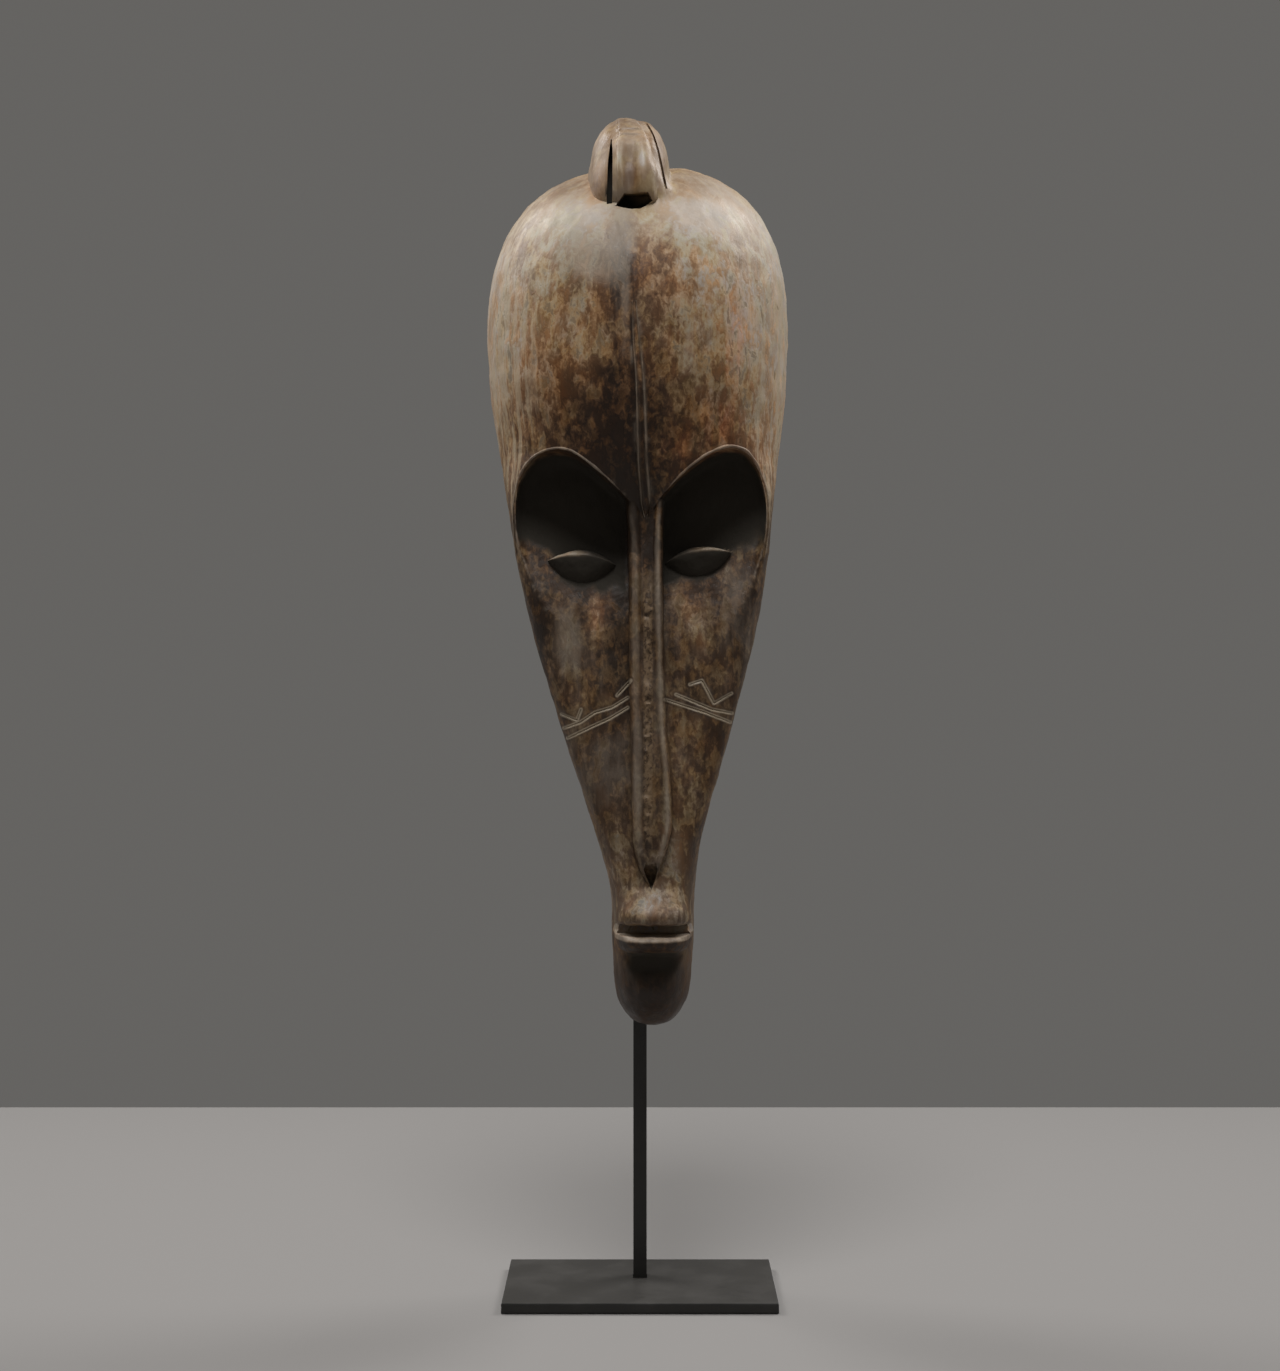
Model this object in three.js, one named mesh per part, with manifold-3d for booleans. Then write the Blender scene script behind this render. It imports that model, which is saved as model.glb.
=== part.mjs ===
// A tall spirit mask carved from one block of light wood, on a painted steel stand.
// Units are millimetres, +Z is up, and the face looks along -Y.
// The origin is the centre of the base plate's underside.
import * as THREE from "three";
import { mergeVertices } from "three/addons/utils/BufferGeometryUtils.js";
import Module from "manifold-3d";

// The stand
const plateWidth = 200;
const plateDepth = 120;
const plateThickness = 8;
const plateChamfer = 1.2;
const barSide = 10;
const barCentreY = 12;
const barTop = 825.08;
const socketDepth = 5;
const fitGap = 0.3;

// Heights of the mask's main lines
const chinBottom = 200;
const chinCentre = 243;
const domeCentre = 715;
const domeTop = 848;
const noseTip = 307;
const noseRoot = 586;
const heartCentre = { x: 2.5, z: 520 };

// Roundness of the superellipses: 2 is an ellipse, and more is squarer
const chinRoundness = 2.25;
const domeRoundness = 2.55;
const profileRoundness = 2.2;

// Even steps from one value to another, both ends included
function steps(from, to, count) {
  return Array.from({ length: count + 1 }, (_, i) => from + (to - from) * (i / count));
}

// A smooth curve through [height, value] stations that never overshoots them
function through(...stations) {
  const z = stations.map((s) => s[0]);
  const v = stations.map((s) => s[1]);
  const slope = z.slice(1).map((end, i) => (v[i + 1] - v[i]) / (end - z[i]));
  const tangent = v.map((_, i) => {
    if (i === 0) return slope[0];
    if (i === v.length - 1) return slope[i - 1];
    const product = slope[i - 1] * slope[i];
    return product <= 0 ? 0 : (2 * product) / (slope[i - 1] + slope[i]);
  });
  return (at) => {
    if (at <= z[0]) return v[0];
    if (at >= z.at(-1)) return v.at(-1);
    const i = z.findIndex((end) => end > at) - 1;
    const span = z[i + 1] - z[i];
    const t = (at - z[i]) / span;
    const stay = (1 + 2 * t) * (1 - t) ** 2;
    return (
      v[i] * stay +
      v[i + 1] * (1 - stay) +
      span * t * (1 - t) * ((1 - t) * tangent[i] - t * tangent[i + 1])
    );
  };
}

// The mask's outer form, height by height
const sideHalfWidth = through(
  [243, 28.9],
  [267, 30.1],
  [297, 30.5],
  [326, 34.9],
  [362, 44.2],
  [405, 57.2],
  [449, 70.3],
  [492, 82.4],
  [536, 91.3],
  [580, 97.9],
  [626, 105.6],
  [672, 112.6],
  [715, 115.3],
);
const midline = through(
  [chinBottom, 9],
  [290, 9.6],
  [345, 6.6],
  [430, 4.5],
  [510, 2.7],
  [600, 0],
  [720, -1.9],
  [790, -0.8],
  [domeTop, 3],
);
const frontLine = through(
  [chinBottom, -62],
  [243, -66],
  [262, -69],
  [285, -73],
  [310, -70],
  [350, -67],
  [400, -63],
  [450, -60],
  [500, -57],
  [535, -57.5],
  [555, -61],
  [575, -67],
  [600, -76],
  [622, -84],
  [650, -93],
  [685, -99],
  [715, -100.5],
);
const backLine = through(
  [chinBottom, barCentreY - barSide / 2 - fitGap],
  [300, barCentreY - barSide / 2 - fitGap],
  [400, 14],
  [500, 30],
  [600, 48],
  [700, 64],
  [domeTop, 72],
);
const squareness = through(
  [chinBottom, 2.4],
  [245, 2.8],
  [280, 3.3],
  [310, 4],
  [345, 5.5],
  [400, 8],
  [545, 8],
  [572, 6.5],
  [588, 5],
  [604, 3.8],
  [622, 3],
  [650, 2.6],
  [715, 2.4],
);

// How much of the full section is left in the rounded chin and dome
function shrink(z, roundness) {
  const t =
    z > domeCentre
      ? (z - domeCentre) / (domeTop - domeCentre)
      : Math.max(0, chinCentre - z) / (chinCentre - chinBottom);
  return Math.max(0, 1 - t ** roundness) ** (1 / roundness);
}

function halfWidth(z) {
  const roundness = z > domeCentre ? domeRoundness : chinRoundness;
  return sideHalfWidth(z) * shrink(z, roundness);
}

function frontDepth(z) {
  const roundness = z > domeCentre ? profileRoundness : chinRoundness;
  return backLine(z) + (frontLine(z) - backLine(z)) * shrink(z, roundness);
}

// Lips, mouth slot and the scoop under the lower lip, as forward relief
const lipProfile = through(
  [236, 0],
  [260, 0],
  [262.3, 6],
  [265, 10.2],
  [268, 12],
  [270.2, 12.4],
  [271.4, 11.4],
  [273.4, 8],
  [274.4, -2],
  [276, -7],
  [280.2, -7],
  [281.6, 4],
  [283.2, 9],
  [287, 10],
  [297, 5],
  [308, 0],
);
const lipHalfWidth = through([236, 13], [258, 14], [260.3, 18.5], [263.7, 25], [267.3, 27], [272, 28]);
const scoopProfile = through(
  [232, 0],
  [241, 3],
  [250, 9],
  [257, 10],
  [260.5, 4],
  [262.5, 0],
);
const scoopHalfWidth = through([232, 8], [262, 25]);

function mouthRelief(x, z) {
  const across = Math.min(1, Math.abs(x - midline(z)) / lipHalfWidth(z));
  const scooped = Math.min(1, Math.abs(x - midline(z)) / scoopHalfWidth(z));
  return (
    lipProfile(z) * Math.sqrt(1 - across ** 6) -
    scoopProfile(z) * (1 - scooped ** 2)
  );
}

// Evenly spaced points on half a superellipse, from its left end over the top to its right end
function archPoints(count, width, height, power) {
  const fine = 240;
  const path = steps(-Math.PI / 2, Math.PI / 2, fine).map(
    (turn) =>
      new THREE.Vector2(
        width * Math.sign(turn) * Math.abs(Math.sin(turn)) ** (2 / power),
        height * Math.abs(Math.cos(turn)) ** (2 / power),
      ),
  );
  const run = [0];
  for (let i = 1; i <= fine; i++) {
    run.push(run[i - 1] + path[i].distanceTo(path[i - 1]));
  }
  return steps(0, run[fine], count).map((goal) => {
    const i = Math.max(0, run.findIndex((r) => r >= goal) - 1);
    return path[i].clone().lerp(path[i + 1], (goal - run[i]) / (run[i + 1] - run[i]));
  });
}

// A level section of the mask, from the left rim round the front to the right rim
function section(z, count, { width, front, back, power }) {
  return archPoints(count, width, back - front, power).map(
    (p) => new THREE.Vector3(midline(z) + p.x, back - p.y, z),
  );
}

const wasm = await Module();
wasm.setup();

// A closed solid from equal rings of points, capped at both ends, with its faces turned outwards
function loft(rings) {
  const sides = rings[0].length;
  const points = rings.flat();
  const faces = [];
  for (let r = 0; r + 1 < rings.length; r++) {
    for (let i = 0; i < sides; i++) {
      const a = r * sides + i;
      const b = r * sides + ((i + 1) % sides);
      faces.push(a, b, b + sides, a, b + sides, a + sides);
    }
  }
  for (const [ring, flip] of [[0, true], [rings.length - 1, false]]) {
    const middle = rings[ring]
      .reduce((sum, p) => sum.add(p), new THREE.Vector3())
      .divideScalar(sides);
    points.push(middle);
    for (let i = 0; i < sides; i++) {
      const a = ring * sides + i;
      const b = ring * sides + ((i + 1) % sides);
      faces.push(points.length - 1, ...(flip ? [b, a] : [a, b]));
    }
  }
  const made = solidFrom(new THREE.BufferGeometry().setFromPoints(points).setIndex(faces));
  if (made.volume() > 0) return made;
  for (let i = 0; i < faces.length; i += 3) {
    [faces[i], faces[i + 1]] = [faces[i + 1], faces[i]];
  }
  return solidFrom(new THREE.BufferGeometry().setFromPoints(points).setIndex(faces));
}

function solidFrom(geometry) {
  const plain = geometry.clone();
  plain.deleteAttribute("normal");
  plain.deleteAttribute("uv");
  const merged = mergeVertices(plain, 1e-4);
  return new wasm.Manifold(
    new wasm.Mesh({
      numProp: 3,
      vertProperties: new Float32Array(merged.attributes.position.array),
      triVerts: new Uint32Array(merged.index.array),
    }),
  );
}

function meshFrom(solid, name, material) {
  const { vertProperties, triVerts, numProp } = solid.getMesh();
  const positions = new Float32Array((vertProperties.length / numProp) * 3);
  for (let i = 0; i < positions.length / 3; i++) {
    positions.set(vertProperties.subarray(i * numProp, i * numProp + 3), i * 3);
  }
  const geometry = new THREE.BufferGeometry();
  geometry.setAttribute("position", new THREE.BufferAttribute(positions, 3));
  geometry.setIndex(new THREE.BufferAttribute(new Uint32Array(triVerts), 1));
  geometry.computeVertexNormals();
  const mesh = new THREE.Mesh(geometry, material);
  mesh.name = name;
  return mesh;
}

// Heights that follow a rounded end evenly, from its pole to where the section is full
function roundedHeights(pole, centre, roundness, count) {
  return steps(Math.PI / 2 - 0.06, 0, count).map(
    (turn) => centre + (pole - centre) * Math.sin(turn) ** (2 / roundness),
  );
}

// The block with its lips, before the face is cut into it
// From 0 at one value to 1 at another, smooth between them and level beyond
function between(none, full, x) {
  const t = Math.min(1, Math.max(0, (x - none) / (full - none)));
  return t * t * (3 - 2 * t);
}

// The crown is a little fuller to the right of the topknot
function crownRise(x, y, z) {
  const bump = Math.exp(-(((x - 34) / 20) ** 2) - ((y + 35) / 40) ** 2);
  return 3.6 * bump * between(10, 30, x) * between(770, 800, z);
}

function outerBody() {
  const columns = 36;
  const heights = [
    ...roundedHeights(chinBottom, chinCentre, chinRoundness, 6),
    249, 256, 260, 262.3, 265, 268, 270.2, 271.4, 273.2, 281.3, 283.2, 288, 297, 308,
    ...steps(322, 540, 10),
    ...steps(555, 630, 5),
    ...steps(648, 698, 3),
    ...roundedHeights(domeTop, domeCentre, domeRoundness, 10).reverse(),
  ];
  return loft(
    heights.map((z) =>
      section(z, columns, {
        width: halfWidth(z),
        front: frontDepth(z),
        back: backLine(z),
        power: squareness(z),
      }).map((p) => p.set(p.x, p.y - mouthRelief(p.x, z), z + crownRise(p.x, p.y, z))),
    ),
  );
}

// A straight-sided cutter from level rings, each [height, left, right, back], all open to the front
const cutFront = -112;

function levelCut(rows) {
  return loft(
    rows.map(([z, left, right, back]) =>
      [[left, cutFront], [right, cutFront], [right, back], [left, back]].map(
        ([x, y]) => new THREE.Vector3(x, y, z),
      ),
    ),
  );
}

// The mouth slot, a little wider below
const slotBack = -50;

function mouthSlot() {
  return levelCut(
    [[273.3, 26.6], [279.1, 24.7], [280.7, 22.5]].map(([z, half]) => [
      z,
      midline(z) - half,
      midline(z) + half,
      slotBack,
    ]),
  );
}

// The hollow at the back, from above the chin to under the crown
const hollowBottom = 264;
const hollowLow = 300;
const hollowTop = 834;
const wall = 13;
const hollowFront = through(
  [hollowBottom, -34],
  [320, -44],
  [400, -46],
  [480, -42],
  [545, -32],
  [590, -22],
  [620, -21],
  [650, -45],
  [690, -73],
  [domeCentre, -81],
);

function hollow() {
  const heights = [
    ...roundedHeights(hollowBottom, hollowLow, 2.2, 4),
    ...steps(330, 540, 6),
    565, 590, 610, 625, 640, 655, 672, 690,
    ...roundedHeights(hollowTop, domeCentre, domeRoundness, 8).reverse(),
  ];
  const past = 6;
  return loft(
    heights.map((z) => {
      const low = Math.max(0, hollowLow - z) / (hollowLow - hollowBottom);
      const high = Math.max(0, z - domeCentre) / (hollowTop - domeCentre);
      const across = (1 - low ** 2.2) ** (1 / 2.2) * (1 - high ** domeRoundness) ** (1 / domeRoundness);
      const along = (1 - low ** 2.2) ** (1 / 2.2) * (1 - high ** 2.2) ** (1 / 2.2);
      const back = backLine(z);
      const wide = (sideHalfWidth(Math.max(z, hollowLow)) - wall + 3 * (z < 360)) * across;
      const ring = section(z, 16, {
        width: wide,
        front: back + (hollowFront(z) - back) * along,
        back,
        power: Math.min(3, squareness(z)),
      });
      return [ring[0].clone().setY(back + past), ...ring, ring.at(-1).clone().setY(back + past)];
    }),
  );
}

// The heart-shaped outline of the sunk face: brow arcs, temples and a tapering lower end
const heartPoints = [
  [3, 574], [-6, 583], [-15, 592.5], [-28, 604.5], [-40, 614], [-50, 620], [-63, 621.5], [-77, 616.5],
  [-86, 605], [-91, 588], [-91.5, 563], [-87, 535], [-76, 500], [-60, 470], [2.5, 440], [62, 470],
  [79, 500], [88.5, 538], [93, 565], [92.5, 588], [88, 604], [82.5, 614.5], [75, 621.5], [64, 623.5],
  [54.5, 620.5], [35, 608], [17, 590],
];
const heart = new THREE.CatmullRomCurve3(
  heartPoints.map(([x, z]) => new THREE.Vector3(x, 0, z)),
  true,
  "centripetal",
);
const faceFloor = through(
  [430, -72],
  [460, -61],
  [475, -58.6],
  [490, -57.4],
  [500, -56.2],
  [511, -53.8],
  [530, -48.5],
  [550, -42.5],
  [575, -37],
  [600, -35],
  [640, -33],
);

function faceCutter() {
  const outline = heart.getPoints(72).slice(0, -1);
  const centre = new THREE.Vector3(heartCentre.x, 0, heartCentre.z);
  const ring = (scale, depth) =>
    outline.map((p) => {
      const q = centre.clone().lerp(p, scale);
      q.y = depth === undefined ? faceFloor(q.z) : depth;
      return q;
    });
  return loft([
    ring(1.02, -150),
    ring(1, -90),
    ring(0.97),
    ...[0.88, 0.74, 0.55, 0.35, 0.15].map((scale) => ring(scale)),
  ]);
}

// The thin raised rim along both brows
const browBead = 1.7;

function browRim(from, to) {
  const path = new THREE.CatmullRomCurve3(
    steps(from, to, 14).map((share) => {
      const p = heart.getPoint(share);
      return new THREE.Vector3(p.x, surfaceDepth(p.x, p.z) + 0.4, p.z);
    }),
  );
  const bead = new THREE.Shape().absarc(0, 0, browBead, 0, Math.PI * 2);
  return solidFrom(
    new THREE.ExtrudeGeometry(bead, { steps: 18, curveSegments: 3, extrudePath: path }),
  );
}

// The depth of the uncut outer form at a place in the front view
function surfaceDepth(x, z) {
  const across = Math.min(1, Math.abs(x - midline(z)) / halfWidth(z));
  const n = squareness(z);
  return backLine(z) + (frontDepth(z) - backLine(z)) * (1 - across ** n) ** (1 / n);
}

// The nose, a long bar with a raised rail at each edge, ending in a point
const noseLeft = through(
  [noseTip, 7.2], [318, 1], [337, -4.5], [355, -5.5], [427, -6.5], [450, -7.6], [550, -7.8], [noseRoot, -9.4],
);
const noseRight = through(
  [noseTip, 8.2], [318, 13], [337, 19.4], [355, 22.8], [395, 21.3], [427, 18.5], [480, 17], [550, 16],
  [noseRoot, 17],
);
const noseFront = through(
  [noseTip, -70.6], [318, -72.5], [332, -76], [350, -79], [385, -80], [450, -77], [530, -73], [560, -70.5],
  [noseRoot, -70],
);
const leftRail = 7.4;
const rightRail = 5.6;
const noseChannel = through([311, 0], [336, 2.4]);
const noseFoot = -30;

function nose() {
  const heights = [noseTip, 312, 318, 328, 337, 346, 355, 375, 395, ...steps(427, noseRoot, 5)];
  return loft(
    heights.map((z) => {
      const left = noseLeft(z);
      const right = noseRight(z);
      const open = Math.min(1, (right - left) / 20);
      const front = noseFront(z);
      const floor = front + noseChannel(z);
      return [
        [left - 1.8, noseFoot],
        [left, front + 2],
        [left + 1.2 * open, front],
        [left + leftRail * open, front],
        [left + (leftRail + 1) * open, floor],
        [right - (rightRail + 1) * open, floor],
        [right - rightRail * open, front],
        [right - 1.2 * open, front],
        [right, front + 2],
        [right + 1.8, noseFoot],
      ].map(([x, y]) => new THREE.Vector3(x, y, z));
    }),
  );
}

// The notch where the channel of the nose runs out, deepest just above its point
function noseNotch() {
  return levelCut([
    [328, 4.6, 11.4, -76],
    [321, 2.4, 12.6, -68],
    [315, 4.8, 11.2, -63],
    [311, 6.6, 9.9, -62],
    [307, 8, 8.9, -66],
  ]);
}

// The narrow raised strip that runs down the forehead to the notch between the brows
const stripMiddle = through([572, 4.2], [584, 3.9], [612, 1.8], [639, 1], [667, 0], [695, -2.5], [722, -4]);
const stripHalf = through([572, 0.8], [585, 4.2], [639, 4], [667, 3.7], [695, 3], [722, 1.4]);
const stripHeight = through([572, 1.4], [584, 3.8], [667, 3.4], [700, 2.6], [722, 0.8]);

function foreheadStrip() {
  return loft(
    steps(572, 722, 10).map((z) => {
      const half = stripHalf(z);
      const depth = surfaceDepth(stripMiddle(z), z);
      return [
        [-half - 0.8, depth + 6],
        [-half, depth - stripHeight(z)],
        [-half * 0.6, depth - stripHeight(z)],
        [-half * 0.4, depth - stripHeight(z) + 1],
        [half * 0.4, depth - stripHeight(z) + 1],
        [half * 0.6, depth - stripHeight(z)],
        [half, depth - stripHeight(z)],
        [half + 0.8, depth + 6],
      ].map(([x, y]) => new THREE.Vector3(stripMiddle(z) + x, y, z));
    }),
  );
}

// An almond-shaped closed eye. Down its height, from the upper edge at 0 to the lower at 1, it stands out
// by the bulge.
const eyeTop = 8;
const eyeBottom = -13.5;
const eyeRise = 12.5;
const eyeBulge = through(
  [0, 0], [0.05, 0.62], [0.15, 1], [0.3, 0.97], [0.55, 0.82], [0.8, 0.6], [0.93, 0.38], [1, 0],
);

function eye({ x, z, halfLength, tilt, depth, fullness }) {
  const rings = steps(-0.97, 0.97, 10).map((share) => {
    const open = 1 - share ** 2;
    const profile = [0, 0.05, 0.15, 0.4, 0.7, 0.9, 1].map((down) => [
      fullness * open * (eyeTop + (eyeBottom - eyeTop) * down),
      -eyeRise * Math.sqrt(open) * eyeBulge(down),
    ]);
    const top = profile[0][0];
    const bottom = profile.at(-1)[0];
    return [[top, 8], ...profile, [bottom, 8]].map(([up, y]) => {
      const along = share * halfLength;
      return new THREE.Vector3(
        x + along * Math.cos(tilt) - up * Math.sin(tilt),
        depth + y,
        z + along * Math.sin(tilt) + up * Math.cos(tilt),
      );
    });
  });
  return loft(rings);
}

// The topknot: a lobe in the middle and a lower wing each side, as arches that run back over the crown
const crestCentre = { y: -10, z: 800 };
const crestReach = through(
  [-30, 48], [-10, 57], [-5, 62], [0, 67], [8, 70], [20, 71.5], [45, 71.5], [65, 71], [90, 71],
  [120, 69], [150, 64], [180, 54], [220, 40],
);
const crestAngles = [-30, -10, -5, 0, 8, 16, 24, 33, 44, 56, 68, 80, 92, 104, 120, 140, 165, 190, 220];

// The wings are fuller at the left foot and on the upper right, and the right one flares at the foot
const crestWings = {
  middle: () => -7.8,
  half: () => 30.6,
  drop: through([-30, 6], [0, 6], [40, 3.5], [75, 1], [130, 2], [220, 4]),
  power: 3,
  flare: 9,
  columns: 14,
  relief: (x, degrees) =>
    1.2 * Math.exp(-(((x + 31) / 7) ** 2) - ((degrees - 8) / 9) ** 2) +
    2.5 * between(2, 9, x) * Math.exp(-(((degrees - 48) / 16) ** 2)),
};

// The lobe's front is worn hollow between two rounded edges, and slopes back to the right of them
const wornHalf = through([0, 8.5], [12, 7.6], [35, 6.4], [60, 4]);
const crestLobe = {
  middle: through([0, 0.1], [17, -1.7], [36, -4.4], [55, -8], [72, -10], [90, -11], [180, -9]),
  half: through([0, 19.2], [17, 17.5], [36, 15.2], [55, 12.5], [72, 11], [90, 10.5], [180, 9]),
  drop: () => 0,
  power: 6,
  flare: 0,
  columns: 20,
  relief: (x, degrees) =>
    -4.6 * Math.exp(-(Math.abs((x + 7) / wornHalf(degrees)) ** 2.6)) * between(44, 22, degrees) -
    0.16 * Math.max(0, x - 1) ** 1.5 * between(60, 20, degrees) -
    6 * between(9, 16, x) * between(22, 2, degrees),
};

function crestArch({ middle, half, drop, power, flare, columns, relief }) {
  return loft(
    crestAngles.map((degrees) => {
      const turn = THREE.MathUtils.degToRad(degrees);
      return archPoints(columns, 1, 1, power).map((p) => {
        const spread = flare * between(26, 2, degrees) * Math.max(0, p.x) ** 2;
        const x = middle(degrees) + p.x * half(degrees) + spread;
        const full = p.y * (crestReach(degrees) - drop(degrees));
        const out = Math.max(1, full + relief(x, degrees) * between(0, 0.7, p.y));
        return new THREE.Vector3(
          x,
          crestCentre.y - out * Math.cos(turn),
          crestCentre.z + out * Math.sin(turn),
        );
      });
    }),
  );
}

// The slot in the topknot's left side, which goes down into the crown
function crestSlot() {
  return levelCut([
    [797, -23.8, -20, -58],
    [803, -23.8, -19.5, -58],
    [826, -23.2, -19.4, -50],
    [836, -22, -19.6, -46],
    [846, -21, -20.4, -44],
  ]);
}

// The topknot, with the narrow groove that bends down its right side
const grooveWidth = 1.7;

function crest() {
  const groove = levelCut(
    [[873, 1.5, -18], [862, 5, -34], [850, 9.5, -47], [838, 13, -53], [825, 15.8, -52], [808, 18.9, -46]].map(
      ([z, x, back]) => [z, x - grooveWidth / 2, x + grooveWidth / 2, back],
    ),
  );
  return crestArch(crestLobe).add(crestArch(crestWings)).subtract(groove);
}

// The hole under the front of the topknot
function crestHole() {
  const outline = [
    [-18.4, 793.5], [-11.5, 803], [5.7, 803.5], [9.3, 798], [4.5, 794.3], [0, 792.3], [-5.5, 791.2],
    [-11.5, 791.8],
  ];
  return loft(
    [-95, -52].map((y) => outline.map(([x, z]) => new THREE.Vector3(x, y, z + (y + 80) * 0.1))),
  );
}

const paintedSteel = new THREE.MeshStandardMaterial({
  color: 0x1b1a17,
  roughness: 0.55,
  metalness: 0.4,
});
const oldWood = new THREE.MeshStandardMaterial({ color: 0x6b5440, roughness: 0.8, metalness: 0 });

function makeMask() {
  const carved = outerBody()
    .subtract(faceCutter())
    .add(nose())
    .add(foreheadStrip())
    .add(browRim(0.035, 0.34))
    .add(browRim(0.69, 0.965))
    .add(eye({ x: -42, z: 541.3, halfLength: 25, tilt: -0.07, depth: -44, fullness: 1.19 }))
    .add(eye({ x: 42, z: 544.8, halfLength: 25, tilt: 0.17, depth: -43, fullness: 1.05 }))
    .add(crest())
    .subtract(crestSlot())
    .subtract(crestHole())
    .subtract(noseNotch())
    .subtract(mouthSlot())
    .subtract(hollow());
  return meshFrom(carved, "mask", oldWood);
}

function makeUpright() {
  const foot = plateThickness - socketDepth + fitGap;
  const bar = new THREE.BoxGeometry(barSide, barSide, barTop - foot);
  bar.translate(0, barCentreY, (barTop + foot) / 2);
  return meshFrom(solidFrom(bar), "upright", paintedSteel);
}

function makeBasePlate() {
  const outline = new THREE.Shape()
    .moveTo(-plateWidth / 2 + plateChamfer, -plateDepth / 2 + plateChamfer)
    .lineTo(plateWidth / 2 - plateChamfer, -plateDepth / 2 + plateChamfer)
    .lineTo(plateWidth / 2 - plateChamfer, plateDepth / 2 - plateChamfer)
    .lineTo(-plateWidth / 2 + plateChamfer, plateDepth / 2 - plateChamfer);
  const plate = new THREE.ExtrudeGeometry(outline, {
    depth: plateThickness - 2 * plateChamfer,
    bevelThickness: plateChamfer,
    bevelSize: plateChamfer,
    bevelSegments: 2,
  });
  plate.translate(0, 0, plateChamfer);
  const socketSide = barSide + 2 * fitGap;
  const socket = new THREE.BoxGeometry(socketSide, socketSide, 2 * socketDepth);
  socket.translate(0, barCentreY, plateThickness);
  return meshFrom(solidFrom(plate).subtract(solidFrom(socket)), "base_plate", paintedSteel);
}

const maskOnStand = new THREE.Group();
maskOnStand.add(makeBasePlate(), makeUpright(), makeMask());

export default maskOnStand;
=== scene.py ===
import bpy
import numpy as np
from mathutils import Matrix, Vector


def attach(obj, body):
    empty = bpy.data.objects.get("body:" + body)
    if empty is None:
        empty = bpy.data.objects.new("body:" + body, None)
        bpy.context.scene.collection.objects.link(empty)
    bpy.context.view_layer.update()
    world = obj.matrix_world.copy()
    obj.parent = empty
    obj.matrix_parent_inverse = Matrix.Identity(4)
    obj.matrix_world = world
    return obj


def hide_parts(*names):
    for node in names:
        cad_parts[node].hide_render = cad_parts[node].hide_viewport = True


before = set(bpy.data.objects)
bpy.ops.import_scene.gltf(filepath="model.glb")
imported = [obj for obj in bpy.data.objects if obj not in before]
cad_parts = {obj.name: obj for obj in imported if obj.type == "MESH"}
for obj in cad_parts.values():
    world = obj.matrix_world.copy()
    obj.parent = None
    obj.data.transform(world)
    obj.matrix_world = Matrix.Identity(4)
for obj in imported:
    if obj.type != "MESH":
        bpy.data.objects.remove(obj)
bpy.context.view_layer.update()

mm = 0.001  # the carving is worked out in millimetres, and a mesh is written in metres
print("frame loaded:", ", ".join(sorted(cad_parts)))


# The cubic from one value to the next, t of the way along a span, with given slopes at both ends
def cubic(t, span, start, end, startSlope, endSlope):
    stay = (1 + 2 * t) * (1 - t) ** 2
    lean = span * t * (1 - t) * ((1 - t) * startSlope - t * endSlope)
    return start * stay + end * (1 - stay) + lean


# A smooth curve through (height, value) stations. Its slope at each is the harmonic mean of the
# slopes on either side, so it never swings past a station.
def through(*stations):
    at, value = np.array(stations, float).T
    slope = np.diff(value) / np.diff(at)
    pairs = slope[:-1] * slope[1:]
    middle = np.where(pairs > 0, 2 * pairs / np.where(pairs > 0, slope[:-1] + slope[1:], 1), 0)
    tangent = np.concatenate([slope[:1], middle, slope[-1:]])

    def curve(x):
        x = np.clip(x, at[0], at[-1])
        i = np.clip(np.searchsorted(at, x, "right") - 1, 0, len(at) - 2)
        span = at[i + 1] - at[i]
        return cubic((x - at[i]) / span, span, value[i], value[i + 1], tangent[i], tangent[i + 1])

    return curve


# How far x is on its way from low, 0, to high, 1
def progress(low, high, x):
    return np.clip((x - low) / (high - low), 0, 1)


# A smooth step from 0 at low to 1 at high: 3 t^2 - 2 t^3
def ease(low, high, x):
    t = progress(low, high, x)
    return t * t * (3 - 2 * t)


# A quarter of a superellipse: (1 - t^n)^(1/n)
def rounded(t, n):
    return (1 - t ** n) ** (1 / n)


def bell(t):
    return np.exp(-t ** 2)


# A share that rises from 0 at a to 1 at b, and falls from c to 0 at d
def between(x, a, b, c, d):
    return ease(a, b, x) * ease(d, c, x)


def unit(way):
    return way / np.linalg.norm(way, axis=1, keepdims=True)


# Soft uneven ground: a sum of plane waves with seeded random directions, wavelengths near `size`
def unevenness(points, size, seed, waves=28):
    rng = np.random.default_rng(seed)
    way = unit(rng.normal(size=(waves, 3)))
    way *= (2 * np.pi / (size * rng.uniform(0.6, 1.7, waves)))[:, None]
    return np.sin(points @ way.T + rng.uniform(0, 2 * np.pi, waves)).sum(axis=1) / np.sqrt(waves / 2)


# Even steps, with both ends in
def steps(low, high, count):
    return np.linspace(low, high, count + 1)


# Points from three arrays, each spread over the shape of the others
def pointsOf(x, y, z):
    return np.stack(np.broadcast_arrays(x, y, z), -1)


# The same with one more row down each side, at a depth of its own
def sheet(x, y, z, sideDepth, apart=0):
    points = np.pad(pointsOf(x, y, z), ((0, 0), (1, 1), (0, 0)), "edge")
    points[:, 0, 0] -= apart
    points[:, -1, 0] += apart
    points[:, [0, -1], 1] = sideDepth
    return points


def addObject(name, data):
    made = bpy.data.objects.new(name, data)
    bpy.context.scene.collection.objects.link(made)
    return made


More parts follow.
